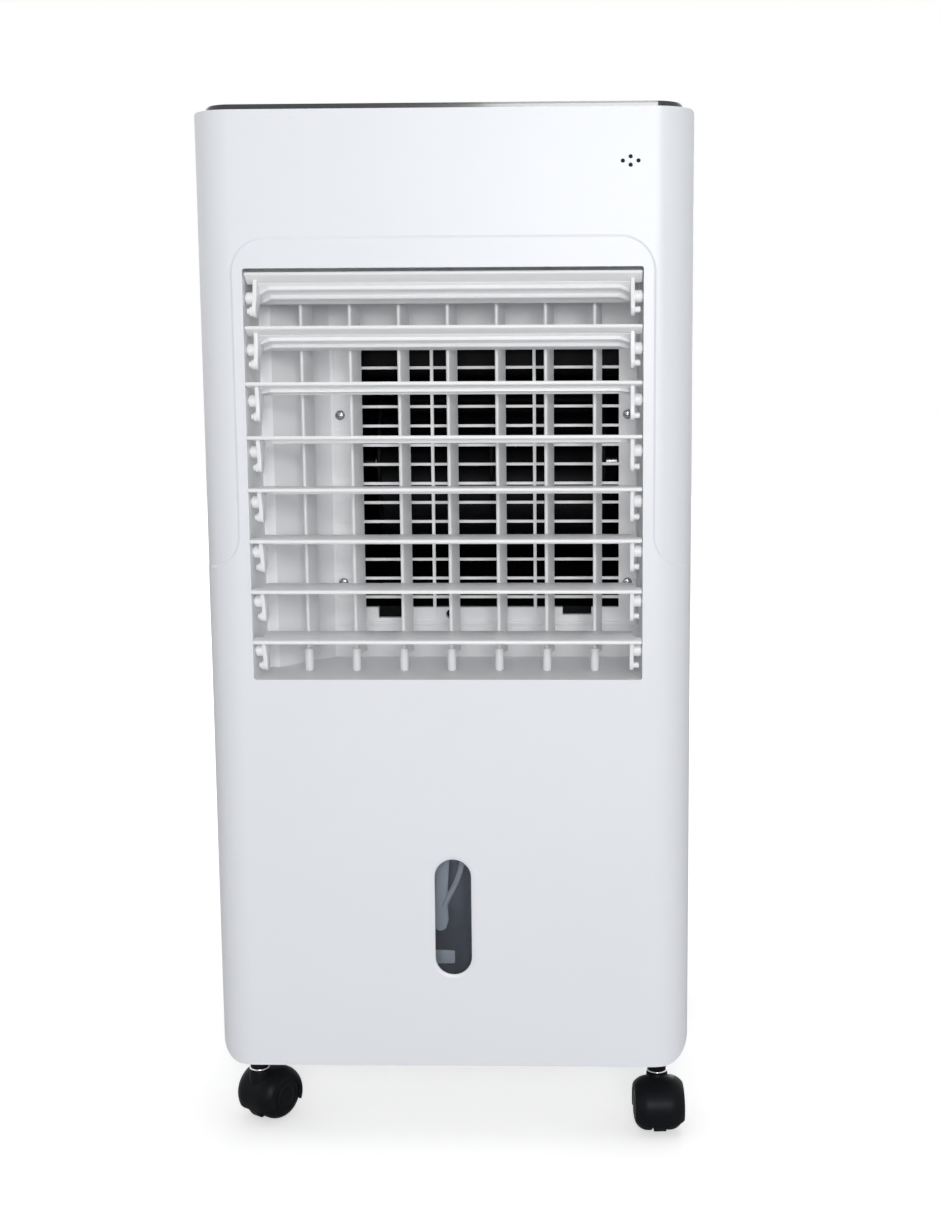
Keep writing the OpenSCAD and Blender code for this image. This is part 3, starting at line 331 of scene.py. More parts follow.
class Finishes:
    """Every finish of the object."""

    CABINET = Finish(Slot.CABINET, (0.80, 0.82, 0.865), 0.36, depth=0.004 * MM, tone=0.012)
    INNER = Finish(Slot.INNER, (0.93, 0.935, 0.95), 0.46, tone=0.015)
    SLAT = Finish(Slot.SLAT, (0.90, 0.905, 0.92), 0.38, depth=0.004 * MM, tone=0.012)
    PANEL = Finish(Slot.PANEL, (0.008, 0.009, 0.011), 0.16, coat=0.5, depth=0.002 * MM)
    MOULDED = Finish(Slot.MOULDED, (0.006, 0.0065, 0.0085), 0.38, specular=0.08, tone=0.15)
    DRUM = Finish(Slot.MOULDED, (0.003, 0.003, 0.004), 0.45, specular=0.06, variant="_drum")
    BUTTON = Finish(Slot.BUTTON, (0.05, 0.052, 0.058), 0.42, tone=0.08)
    STEEL = Finish(Slot.STEEL, (0.55, 0.56, 0.58), 0.3, metallic=1.0, tone=0.08,
                   pattern=Pattern.BRUSHED)
    CHROME = Finish(Slot.CHROME, (0.82, 0.83, 0.84), 0.07, metallic=1.0, tone=0.02)
    ZINC = Finish(Slot.CHROME, (0.42, 0.43, 0.45), 0.22, metallic=1.0, tone=0.1, variant="_zinc")
    WINDOW = Finish(Slot.WINDOW, (0.50, 0.54, 0.62), 0.05, clear=1.0, ior=1.49, depth=0.001 * MM)
    TANK = Finish(Slot.TANK, (0.42, 0.46, 0.53), 0.16, clear=0.86, ior=1.3, depth=0.003 * MM)
    LENS = Finish(Slot.LENS, (0.25, 0.5, 0.8), 0.12, clear=0.5, ior=1.49)
    BOARD = Finish(Slot.BOARD, (0.03, 0.15, 0.07), 0.3, tone=0.4, pattern=Pattern.TRACES)
    PAD = Finish(Slot.PAD, (0.36, 0.24, 0.12), 0.85, tone=0.45, depth=0.05 * MM,
                 pattern=Pattern.PAPER)
    MESH = Finish(Slot.MESH, (0.035, 0.037, 0.04), 0.6, tone=0.2)
    HOSE = Finish(Slot.HOSE, (0.62, 0.64, 0.66), 0.3, tone=0.06)
    GAUGE = Finish(Slot.HOSE, (0.95, 0.93, 0.85), 0.3, tone=0.06, variant="_gauge")
    GLAND = Finish(Slot.GLAND, (0.018, 0.018, 0.019), 0.6, tone=0.2)


@dataclass(frozen=True)
class Place:
    """Where a shape's own three directions lie in the object.

    Attributes:
        origin: the shape's zero point.
        p: first direction of its outline.
        q: second direction of its outline.
        r: direction along which the outline is carried or round which it turns.
    """

    origin: Spot
    p: Spot = RIGHT
    q: Spot = REAR
    r: Spot = UP

    def put(self, points: Array) -> Array:
        """Moves points given as (p, q, r) into the object's frame."""
        return points @ np.array([self.p, self.q, self.r], float) + np.array(self.origin, float)

    def moved(self, q: float) -> "Place":
        """Gives the same directions from a zero point moved along q."""
        return Place(tuple(self.put(np.array([0.0, q, 0.0]))), self.p, self.q, self.r)


def corner(node: str) -> tuple[Array, Array]:
    """Gives a CAD node's lowest and highest corner as arrays."""
    low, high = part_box(node)
    return np.array(low), np.array(high)


def mm(*values: float) -> Array:
    """Gives millimetres as metres."""
    return np.array(values) * MM


def stacked(x: Array | float, y: Array | float, z: Array | float) -> Array:
    """Joins three coordinates, each stretched to their common shape, into points."""
    return np.stack(np.broadcast_arrays(x, y, z), -1)


def rounded(points: list[Pair] | Array, radii: float | Array, steps: int = 4) -> Array:
    """Rounds the corners of a closed outline.

    Each corner gives way to an arc that touches both of its sides.

    Args:
        points: the corners, in order.
        radii: radius of every corner, or of each.
        steps: steps in each arc.

    Returns:
        The outline's points, shape (n, 2).
    """
    spots = np.asarray(points, float)
    back, ahead = np.roll(spots, 1, 0) - spots, np.roll(spots, -1, 0) - spots
    len_back, len_ahead = np.linalg.norm(back, axis=1), np.linalg.norm(ahead, axis=1)
    back, ahead = back / len_back[:, None], ahead / len_ahead[:, None]
    half = np.arccos(np.clip((back * ahead).sum(1), -1, 1)) / 2
    cut = np.minimum(radii / np.tan(half), 0.49 * np.minimum(len_back, len_ahead))
    middle = (back + ahead) / np.linalg.norm(back + ahead, axis=1)[:, None]
    centre = spots + middle * (cut * np.tan(half) / np.sin(half))[:, None]
    first, last = spots + back * cut[:, None] - centre, spots + ahead * cut[:, None] - centre
    sweep = (math.pi - 2 * half)[:, None, None]
    t = np.linspace(0, 1, steps + 1)[None, :, None]
    arc = np.sin((1 - t) * sweep) * first[:, None] + np.sin(t * sweep) * last[:, None]
    return (centre[:, None] + arc / np.sin(sweep)).reshape(-1, 2)


def circle(radius: float, steps: int = 24) -> Array:
    """Gives a circle about the zero point."""
    angle = np.linspace(0, 2 * math.pi, steps, endpoint=False)
    return radius * np.stack([np.cos(angle), np.sin(angle)], 1)


def bent(corners: Array, radius: float, steps: int = 8) -> Array:
    """Rounds the inner corners of an open path.

    At each inner corner the path follows a quadratic curve between points that lie one
    radius before and after it.

    Args:
        corners: the path's corners, shape (n, 3).
        radius: distance from a corner at which the bend starts.
        steps: steps in each bend.

    Returns:
        The path's points.
    """
    t = np.linspace(0, 1, steps + 1)[None, :, None]
    here = corners[1:-1]
    before, after = corners[:-2] - here, corners[2:] - here
    start = here + before / np.linalg.norm(before, axis=1)[:, None] * radius
    end = here + after / np.linalg.norm(after, axis=1)[:, None] * radius
    curve = (1 - t) ** 2 * start[:, None] + 2 * t * (1 - t) * here[:, None] + t**2 * end[:, None]
    return np.concatenate([corners[:1], curve.reshape(-1, 3), corners[-1:]])


def opened(data: bpy.types.Mesh) -> bmesh.types.BMesh:
    """Opens a mesh for work, with its doubles merged.

    Args:
        data: the mesh.

    Returns:
        The opened copy of it.
    """
    work = bmesh.new()
    work.from_mesh(data)
    bmesh.ops.remove_doubles(work, verts=work.verts, dist=MERGE)
    return work


def written(work: bmesh.types.BMesh, data: bpy.types.Mesh) -> None:
    """Writes the work back into its mesh."""
    work.to_mesh(data)
    work.free()


def stood(name: str, data: bpy.types.ID) -> bpy.types.Object:
    """Makes an object of its data and links it to the scene.

    Args:
        name: name of the object.
        data: its mesh, camera or light.

    Returns:
        The object.
    """
    made = bpy.data.objects.new(name, data)
    bpy.context.scene.collection.objects.link(made)
    return made


class Skin:
    """Surfaces gathered into one piece."""

    def __init__(self) -> None:
        """Starts without any surface."""
        self.points: list[Array] = []
        self.quads: list[Array] = []
        self.caps: list[list[int]] = []
        self.marks: list[Array] = []
        self.cap_marks: list[int] = []
        self.count = 0

    def _store(self, points: Array) -> int:
        """Adds points.

        Args:
            points: array whose last axis holds x, y and z.

        Returns:
            The number of the first point.
        """
        start = self.count
        self.points.append(points.reshape(-1, 3))
        self.count += len(self.points[-1])
        return start

    def grid(self, points: Array, wrap: bool = False, mark: int = 0) -> None:
        """Adds a surface of two parameters.

        Args:
            points: shape (u, v, 3), or (k, u, v, 3) for k surfaces alike.
            wrap: whether v runs back into its start.
            mark: number of the finish.
        """
        stack = points if points.ndim == 4 else points[None]
        k, u, v, _ = stack.shape
        index = self._store(stack) + np.arange(k * u * v).reshape(k, u, v)
        if wrap:
            index = np.concatenate([index, index[:, :, :1]], 2)
        quads = np.stack([index[:, :-1, :-1], index[:, 1:, :-1], index[:, 1:, 1:],
                          index[:, :-1, 1:]], -1)
        self.quads.append(quads.reshape(-1, 4))
        self.marks.append(np.full(len(self.quads[-1]), mark))

    def sleeve(self, rings: Array, mark: int = 0) -> None:
        """Adds closed rings, joined one to the next, and closes both ends with a face.

        Args:
            rings: shape (rings, points to the ring, 3).
            mark: number of the finish.
        """
        self.grid(rings, wrap=True, mark=mark)
        for ring in (rings[0], rings[-1]):
            start = self._store(ring)
            self.caps.append(list(range(start, start + len(ring))))
            self.cap_marks.append(mark)

    def carry(self, outline: Array, ends: Pair, place: Place, ease: float = 0.0,
              mark: int = 0) -> None:
        """Carries an outline from one place to another along r and closes both ends.

        Towards each end the outline draws in by (1 - sin a) and advances by (1 - cos a)
        of the ease, which rounds the end's edge.

        Args:
            outline: closed outline, shape (n, 2).
            ends: both places along r, in either order.
            place: where the shape lies.
            ease: radius of the rounded end edges.
            mark: number of the finish.
        """
        start, end = sorted(ends)
        turn = np.linspace(0, math.pi / 2, 4) if ease else np.array([math.pi / 2])
        inset, advance = ease * (1 - np.sin(turn)), ease * (1 - np.cos(turn))
        inset = np.concatenate([inset, inset[::-1]])
        along = np.concatenate([start + advance, (end - advance)[::-1]])
        middle = (outline.min(0) + outline.max(0)) / 2
        half = np.maximum((outline.max(0) - outline.min(0)) / 2, 1e-9)
        shrink = 1 - inset[:, None] / half[None]
        flat = middle + (outline - middle)[None] * shrink[:, None]
        self.sleeve(place.put(stacked(flat[..., 0], flat[..., 1], along[:, None])), mark)

    def lathe(self, profile: Array, place: Place, steps: int = 48, closed: bool = False) -> None:
        """Turns a profile round r.

        Args:
            profile: radius and place along r of each point, shape (n, 2).
            place: where the shape lies.
            steps: steps round the turn.
            closed: whether the profile runs back into its start.
        """
        if closed:
            profile = np.vstack([profile, profile[:1]])
        angle = np.linspace(0, 2 * math.pi, steps, endpoint=False)
        radius, along = profile[:, :1], profile[:, 1:]
        turned = stacked(radius * np.cos(angle), radius * np.sin(angle), along)
        self.grid(place.put(turned), wrap=True)

    def boxes(self, low: Array, high: Array) -> None:
        """Adds plain strips, such as threads.

        Args:
            low: lowest corner of each, shape (k, 3).
            high: highest corner of each, shape (k, 3).
        """
        ring = np.array([[0, 0], [1, 0], [1, 1], [0, 1]], float)
        thick = np.array([0.0, 1.0, 1.0, 0.0])
        along = np.array([[0.0], [0.0], [1.0], [1.0]])
        flat = 0.5 + (ring - 0.5)[None] * thick[:, None, None]
        unit = stacked(flat[..., 0], flat[..., 1], along)
        size = (high - low)[:, None, None]
        self.grid(low[:, None, None] + unit[None] * size, wrap=True)

    def tube(self, path: Array, radius: float, sides: int = 20) -> None:
        """Carries a circle along a path, turning it no more than the path turns.

        Args:
            path: points of the path, shape (n, 3).
            radius: radius of the tube.
            sides: sides of the circle.
        """
        ahead = np.gradient(path, axis=0)
        ahead /= np.linalg.norm(ahead, axis=1)[:, None]
        side = np.zeros_like(ahead)
        side[0] = np.cross(ahead[0], (0.3, 0.5, 0.81))
        for i in range(1, len(path)):
            side[i] = side[i - 1] - ahead[i] * (side[i - 1] @ ahead[i])
        side /= np.linalg.norm(side, axis=1)[:, None]
        other = np.cross(ahead, side)
        angle = np.linspace(0, 2 * math.pi, sides, endpoint=False)[None, :, None]
        ring = np.cos(angle) * side[:, None] + np.sin(angle) * other[:, None]
        self.sleeve(path[:, None] + radius * ring)

    def mesh(self, name: str) -> bpy.types.Mesh:
        """Puts the surfaces into a mesh with its doubles merged and its faces outwards.

        Args:
            name: name of the mesh.

        Returns:
            The mesh.
        """
        data = bpy.data.meshes.new(name)
        faces = np.concatenate(self.quads).tolist() + self.caps
        data.from_pydata(np.concatenate(self.points), [], faces)
        marks = np.concatenate(self.marks + [np.array(self.cap_marks, int)])
        data.polygons.foreach_set("material_index", marks.astype(np.int32))
        work = opened(data)
        bmesh.ops.dissolve_degenerate(work, edges=work.edges, dist=MERGE / 2)
        bmesh.ops.recalc_face_normals(work, faces=work.faces)
        written(work, data)
        return data


class Workshop:
    """Turns meshes into pieces that ride on bodies."""

    def skin(self, skin: Skin, name: str, body: str, finishes: list[Finish],
             nodes: list[str] | None = None, crease: float = 32.0) -> None:
        """Makes a piece of gathered surfaces.

        Args:
            skin: the surfaces.
            name: name of the piece.
            body: CAD body that it rides on.
            finishes: finishes in the order of the surfaces' marks.
            nodes: CAD nodes that the piece stands for.
            crease: angle in degrees past which an edge stays sharp.
        """
        data = skin.mesh(name)
        for finish in finishes:
            data.materials.append(finish.material())
        data.shade_smooth()
        data.set_sharp_from_angle(angle=math.radians(crease))
        piece = stood(name, data)
        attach(piece, body)
        if nodes:
            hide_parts(*nodes)
        log.info("%s: %d faces on %s", name, len(data.polygons), body)

    def eased(self, node: str, name: str, finish: Finish, edge: Edge, body: str = "root") -> None:
        """Makes a moulded piece of a CAD node: a merged copy whose edges are rounded.

        Args:
            node: the CAD node.
            name: name of the piece.
            finish: its finish.
            edge: width of the rounded edges.
            body: CAD body that it rides on.
        """
        data = frame["nodes"][node].data.copy()
        data.name = name
        data.materials.clear()
        work = opened(data)
        bmesh.ops.dissolve_limit(work, angle_limit=math.radians(0.6), verts=work.verts,
                                 edges=work.edges)
        written(work, data)
        data.polygons.foreach_set("material_index", np.zeros(len(data.polygons), np.int32))
        data.materials.append(finish.material())
        data.shade_smooth()
        piece = stood(name, data)
        bevel = piece.modifiers.new("eased_edges", "BEVEL")
        bevel.limit_method = "ANGLE"
        bevel.angle_limit = math.radians(34)
        bevel.width = edge.value
        bevel.segments = 2
        even = piece.modifiers.new("even_faces", "WEIGHTED_NORMAL")
        even.mode = "FACE_AREA"
        even.weight = 100
        even.keep_sharp = True
        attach(piece, body)
        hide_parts(node)
        log.info("%s: eased copy on %s", name, body)

    def dress(self, node: str, finish: Finish) -> None:
        """Gives a CAD node that stays in view its finish.

        Args:
            node: the CAD node.
            finish: its finish.
        """
        node_object = frame["nodes"][node]
        if not node_object.material_slots:
            node_object.data.materials.append(finish.material())
        for held in node_object.material_slots:
            held.material = finish.material()
        log.info("%s: CAD node dressed", node)


@dataclass
class Screws:
    """Cross-head screws with domed heads."""

    head_r: float = 3.1 * MM
    head_h: float = 1.8 * MM
    shank_r: float = 1.5 * MM
    cross_w: float = 0.9 * MM
    cross_l: float = 3.6 * MM
    cross_d: float = 1.1 * MM
    slope_w: float = 0.35 * MM

    def beyond(self, across: Array, along: Array) -> Array:
        """Gives how far points lie outside one bar of the cross."""
        return (np.maximum(np.abs(across) - self.cross_w / 2, 0)
                + np.maximum(np.abs(along) - self.cross_l / 2, 0))

    def add(self, skin: Skin, place: Place, length: float) -> None:
        """Adds one screw.

        The head's height over its disc is a dome less a cross whose sides slope, so it is
        a function of radius and angle.

        Args:
            skin: the piece to add to.
            place: seat of the head, with r pointing out of it.
            length: length of the shank behind the seat.
        """
        radius = np.linspace(0, 1, 15)[:, None]
        angle = np.linspace(0, 2 * math.pi, 48, endpoint=False)[None]
        x, y = self.head_r * radius * np.cos(angle), self.head_r * radius * np.sin(angle)
        away = np.minimum(self.beyond(x, y), self.beyond(y, x))
        cut = self.cross_d * np.clip(1 - away / self.slope_w, 0, 1)
        dome = self.head_h * (0.35 + 0.65 * np.sqrt(1 - 0.97 * radius**2)) + 0 * x
        skin.grid(place.put(stacked(x, y, dome - cut)), wrap=True)
        side = np.array([(self.head_r, dome[-1, 0]), (self.head_r, 0), (self.shank_r, 0),
                         (self.shank_r, -length), (0, -length)])
        skin.lathe(side, place)


@dataclass
class Cabinet:
    """Both shells, the base, the window, the receiver and the raised apron's edge."""

    shop: Workshop
    corner_r: float = 24.0 * MM
    relief: float = 1.0 * MM
    apron_half: float = 125.5 * MM
    apron_r: float = 20.0 * MM
    apron_up: float = 514.8 * MM
    band_up: float = 318.0 * MM
    band_end: float = 149.3 * MM
    roll_w: float = 2.2 * MM
    roll_back: float = 0.4 * MM
    screws_front: tuple[float, ...] = (-90.0 * MM, 0.0, 90.0 * MM)
    screws_rear: tuple[float, ...] = (-116.0 * MM, 116.0 * MM)

    def build(self) -> None:
        """Builds the cabinet's pieces."""
        shop = self.shop
        shop.eased("front_shell", "front_cover", Finishes.CABINET, Edge.MILD)
        shop.eased("rear_shell", "rear_cover", Finishes.CABINET, Edge.MILD)
        shop.eased("base_pan", "base", Finishes.INNER, Edge.FINE)
        shop.eased("level_window", "water_window", Finishes.WINDOW, Edge.FINE)
        shop.dress("ir_receiver", Finishes.MOULDED)
        self.screws()
        self.roll()

    def apron_line(self) -> Array:
        """Gives the apron's edge, from the left side over the outlet to the right side.

        Returns:
            Points (x, height above the cabinet's lower edge), shape (n, 2).
        """
        half, r, band = self.apron_half, self.apron_r, self.band_up
        turn = np.linspace(0, math.pi / 2, 13)
        hollow = np.stack([-(half + r) + r * np.sin(turn), band + r - r * np.cos(turn)], 1)
        rise = np.linspace((-half, band + r), (-half, self.apron_up - r), 7)[1:-1]
        crown = np.stack([-(half - r) - r * np.cos(turn), self.apron_up - r + r * np.sin(turn)], 1)
        left = np.concatenate([[(-self.band_end, band)], hollow, rise, crown])
        return np.concatenate([left, left[::-1] * (-1, 1)])

    def roll(self) -> None:
        """Builds the soft roll that leads from the raised apron down to the band round it.

        Across the roll the level falls as half a cosine wave. The plan's depth is that of the
        front face with its rounded corners, and the roll's foot dips just under the band.
        """
        low = corner("front_shell")[0]
        line = self.apron_line()
        ahead = np.gradient(line, axis=0)
        ahead /= np.linalg.norm(ahead, axis=1)[:, None]
        aside = np.stack([-ahead[:, 1], ahead[:, 0]], 1)
        t = np.linspace(0, 1, 9)
        across = np.concatenate([t, [1, 0]]) * self.roll_w - self.roll_back
        level = np.concatenate([0.46 + 0.51 * np.cos(math.pi * t), [-0.3, -0.3]])
        flat = line[:, None] + aside[:, None] * across[None, :, None]
        past = np.abs(flat[..., 0]) + low[0] + self.corner_r
        past = np.clip(past, 0, 0.995 * self.corner_r)
        plan = self.corner_r - np.sqrt(self.corner_r**2 - past**2)
        depth = low[1] + plan + self.relief * (1 - level)[None]
        skin = Skin()
        skin.sleeve(stacked(flat[..., 0], depth, low[2] + flat[..., 1]))
        self.shop.skin(skin, "apron_roll", "root", [Finishes.CABINET], crease=60)

    def screws(self) -> None:
        """Builds the five screws under the base, at the places of the CAD screws."""
        low, high = corner("shell_screws")
        base_z = corner("front_shell")[0][2]
        screw, skin = Screws(), Skin()
        for row, y in ((self.screws_front, low[1] + screw.head_r),
                       (self.screws_rear, high[1] - screw.head_r)):
            for x in row:
                screw.add(skin, Place((x, y, base_z), RIGHT, FRONT, DOWN), high[2] - base_z)
        self.shop.skin(skin, "base_screws", "root", [Finishes.STEEL], ["shell_screws"])


@dataclass
class Slats:
    """The eight hand-set slats of the outlet."""

    shop: Workshop
    count: int = 8
    nose: float = 14.2 * MM
    nose_end: float = 4.0 * MM
    blade_start: float = 5.2 * MM
    tail: float = 15.8 * MM
    rise: float = 9.2 * MM
    blade_t: float = 2.3 * MM
    plate_t: float = 2.4 * MM
    boss_len: float = 4.6 * MM
    boss_r: float = 3.8 * MM
    pin_r: float = 2.25 * MM
    pin_out: float = 2.9 * MM
    crank: float = 9.6 * MM
    crank_r: float = 1.8 * MM
    crank_short: float = 1.2 * MM
    ring_r: float = 2.9 * MM
    ring_w: float = 1.8 * MM
    ridge_t: float = 1.3 * MM
    ridge_drop: float = 2.0 * MM
    ridge_turn: float = 6.0 * MM
    ridges: Pair = (-2.4 * MM, 6.4 * MM)
    lap: float = 0.1 * MM
    nose_up_limit: float = 40.0

    def build(self) -> None:
        """Builds every slat at its own tilt."""
        for number in range(1, self.count + 1):
            self.slat(number)

    def pose(self, number: int) -> Place:
        """Gives a slat's axis and tilt from its joint.

        Args:
            number: the slat, from the top.

        Returns:
            Place with p towards the rear, q up and r to the right.
        """
        joint = JOINTS[f"slat_{number}_tilt"]
        tilt = math.radians(self.nose_up_limit - joint["range_deg"][1])
        return Place(tuple(joint["pos_m"]), (0, math.cos(tilt), -math.sin(tilt)),
                     (0, math.sin(tilt), math.cos(tilt)), RIGHT)

    def blade_outline(self) -> Array:
        """Gives the blade's section, which thins towards its tail.

        Returns:
            The outline as (depth, height), shape (n, 2).
        """
        z0, z1, start = self.rise - self.blade_t, self.rise, -self.blade_start
        corners = [(start, z0), (self.tail, z0 + 0.1 * MM), (self.tail, z1 - 0.9 * MM), (start, z1)]
        return rounded(corners, mm(0.1, 0.6, 0.6, 0.1), 3)

    def nose_outline(self) -> Array:
        """Gives the section of the full-length nose, blunt in front.

        Returns:
            The outline as (depth, height), shape (n, 2).
        """
        z0, z1, end = self.rise - self.blade_t, self.rise, -self.nose_end
        corners = [(-self.nose, z0), (end, z0 + 0.3 * MM), (end, z1), (-self.nose, z1)]
        return rounded(corners, mm(1.0, 0.2, 0.2, 1.0), 5)

    def ridge_outline(self, depth: float, reach: float) -> Array:
        """Gives a ridge's plan: straight along the blade, then slanting back to both end plates.

        Args:
            depth: place of the ridge's front edge behind the axis.
            reach: half of the blade's free length between the end plates.

        Returns:
            The outline as (depth, place along the blade), shape (n, 2).
        """
        back, t, bend = depth + self.ridge_turn * 0.8, self.ridge_t, reach - self.ridge_turn
        corners = [(depth, -bend), (depth, bend), (back, reach), (back + t, reach),
                   (depth + t, bend), (depth + t, -bend), (back + t, -reach), (back, -reach)]
        return rounded(corners, 0.2 * MM, 3)

    def plate_outline(self) -> Array:
        """Gives the end plate: a web under the blade that runs down into the crank arm.

        Returns:
            The outline as (depth, height), shape (n, 2).
        """
        top = self.rise - self.blade_t + 0.4 * MM
        low = -self.crank - 3 * MM
        arm = mm(4.2, 4.6, 5.6)
        down = [low, -5 * MM, -1 * MM]
        right = list(zip(arm, down))
        left = [(-x, z) for x, z in right[::-1]]
        corners = [(-9 * MM, top), *left, *right, (self.tail - 4 * MM, top)]
        return rounded(corners, mm(0.5, 4.0, 3.0, 3.8, 3.8, 3.0, 4.0, 0.5), 4)

    def slat(self, number: int) -> None:
        """Builds one slat: nose, blade, end plates, bosses, pins and crank pins.

        Args:
            number: the slat, from the top.
        """
        place = self.pose(number)
        pin_end = corner(f"slat_{number}")[1][0]
        half = pin_end - self.pin_out
        plate = half - self.boss_len
        free = plate - self.plate_t
        skin = Skin()
        skin.carry(self.nose_outline(), (-half, half), place, ease=0.7 * MM)
        skin.carry(self.blade_outline(), (-plate, plate), place, ease=0.3 * MM)
        below = Place(place.origin, place.p, place.r, place.q)
        under = self.rise - self.blade_t
        for depth in self.ridges:
            skin.carry(self.ridge_outline(depth, free), (under - self.ridge_drop, under + 0.3 * MM),
                       below, ease=0.25 * MM)
        arm = place.moved(-self.crank)
        start = plate - self.lap
        parts = [(self.plate_outline(), free, plate, place, 0.35 * MM),
                 (circle(self.boss_r, 32), start, half, place, 0.5 * MM),
                 (circle(self.pin_r), half - 2 * self.lap, pin_end, place, 0.3 * MM),
                 (circle(self.crank_r), start, half - self.crank_short, arm, 0.5 * MM)]
        for side in (-1, 1):
            for outline, near, far, spot, ease in parts:
                skin.carry(outline, (side * near, side * far), spot, ease)
        skin.carry(circle(self.ring_r, 28), (-start, -plate - self.ring_w), arm, 0.5 * MM)
        self.shop.skin(skin, f"outlet_slat_{number}", f"slat_{number}", [Finishes.SLAT],
                       [f"slat_{number}"])


@dataclass
class Vanes:
    """The seven swinging vanes behind the slats."""

    shop: Workshop
    count: int = 7
    blade_t: float = 2.3 * MM
    front: float = 1.5 * MM
    tail: float = 16.0 * MM
    peg: float = 10.5 * MM
    peg_r: float = 2.75 * MM
    peg_lap: float = 4.0 * MM
    pin_r: float = 1.75 * MM
    crank: float = 12.0 * MM
    crank_pin_r: float = 1.5 * MM
    floor_t: float = 2.5 * MM
    roof_drop: float = 9.0 * MM
    play: float = 0.3 * MM

    def build(self) -> None:
        """Builds every vane, the bar that links them and their motor."""
        for number in range(1, self.count + 1):
            self.vane(number)
        self.shop.eased("vane_link", "vane_bar", Finishes.INNER, Edge.THIN, "vane_link")
        self.shop.eased("swing_motor", "vane_motor", Finishes.STEEL, Edge.MILD)

    def vane(self, number: int) -> None:
        """Builds one vane: blade, pegs, pins and crank pin.

        Args:
            number: the vane, from the left.
        """
        joint = JOINTS[f"vane_{number}_swing"]
        yaw = math.radians(-sum(joint["range_deg"]) / 2)
        x, y, _ = joint["pos_m"]
        place = Place((x, y, 0), (math.cos(yaw), -math.sin(yaw), 0),
                      (math.sin(yaw), math.cos(yaw), 0))
        low, high = corner(f"vane_{number}")
        floor_z = low[2] - 0.2 * MM + self.floor_t
        roof_z = corner("louvre_frame")[1][2] - self.roof_drop
        z0, z1 = floor_z + self.peg, roof_z - self.peg - self.floor_t
        link_top = corner("vane_link")[1][2]
        wide, slim = self.blade_t / 2, self.blade_t * 0.36
        blade = rounded([(-wide, -self.front), (wide, -self.front), (slim, self.tail),
                         (-slim, self.tail)], mm(1.1, 1.1, 0.8, 0.8), 5)
        peg, pin, play = circle(self.peg_r, 32), circle(self.pin_r), self.play
        crank = circle(self.crank_pin_r)
        skin = Skin()
        for outline, ends, spot, ease in (
            (blade, (z0, z1), place, 0.6 * MM),
            (peg, (floor_z + play, z0 + self.peg_lap), place, 0.5 * MM),
            (pin, (low[2], floor_z + play + 0.1 * MM), place, 0.3 * MM),
            (peg, (z1 - self.peg_lap, roof_z - play), place, 0.5 * MM),
            (pin, (roof_z - play - 0.1 * MM, high[2]), place, 0.3 * MM),
            (crank, (z1 - 2 * MM, link_top + 1.5 * MM), place.moved(self.crank), 0.3 * MM),
        ):
            skin.carry(outline, ends, spot, ease)
        self.shop.skin(skin, f"outlet_vane_{number}", f"vane_{number}", [Finishes.SLAT],
                       [f"vane_{number}"])


@dataclass
class Duct:
    """The outlet's duct, its guard, and the guard's screws and ribs."""

    shop: Workshop
    head_t: float = 1.8 * MM
    rim: float = 12.0 * MM
    flange: float = 20.0 * MM
    bar_drop: float = 12.2 * MM
    bar_pitch: float = 12.5 * MM
    rib_in: float = 2.4 * MM
    rib_t: float = 0.9 * MM
    rib_proud: float = 0.9 * MM
    rib_sunk: float = 0.1 * MM
    rib_end: float = 2.0 * MM

    def build(self) -> None:
        """Builds the duct's pieces."""
        self.shop.eased("louvre_frame", "outlet_duct", Finishes.INNER, Edge.THIN)
        self.shop.eased("outlet_guard", "duct_guard", Finishes.SLAT, Edge.FINE)
        low, high = corner("guard_screws")
        seat_y = low[1] + self.head_t
        screw, skin = Screws(), Skin()
        for x in (low[0] + screw.head_r, high[0] - screw.head_r):
            for z in (low[2] + screw.head_r, high[2] - screw.head_r):
                screw.add(skin, Place((x, seat_y, z), RIGHT, UP, FRONT), high[1] - seat_y)
        self.shop.skin(skin, "duct_guard_screws", "root", [Finishes.ZINC], ["guard_screws"])
        self.ribs(seat_y)

    def ribs(self, face_y: float) -> None:
        """Builds the ribs on the guard's left flange: an upright one, and one level with each bar.

        Args:
            face_y: place of the guard's front face.
        """
        low, high = corner("outlet_guard")
        upright_x, hole_x = low[0] + self.rib_in, low[0] + self.flange
        rows = np.arange(high[2] - self.rim - self.bar_drop, low[2] + self.rim, -self.bar_pitch)
        proud_y = face_y - self.rib_proud
        level = stacked(upright_x, proud_y, rows - self.rib_t / 2)
        across = np.array([hole_x - upright_x, self.rib_proud + self.rib_sunk, self.rib_t])
        skin = Skin()
        skin.boxes(level, level + across)
        skin.boxes(np.array([[upright_x - self.rib_t, proud_y, low[2] + self.rib_end]]),
                   np.array([[upright_x, face_y + self.rib_sunk, high[2] - self.rib_end]]))
        self.shop.skin(skin, "duct_guard_ribs", "root", [Finishes.SLAT])


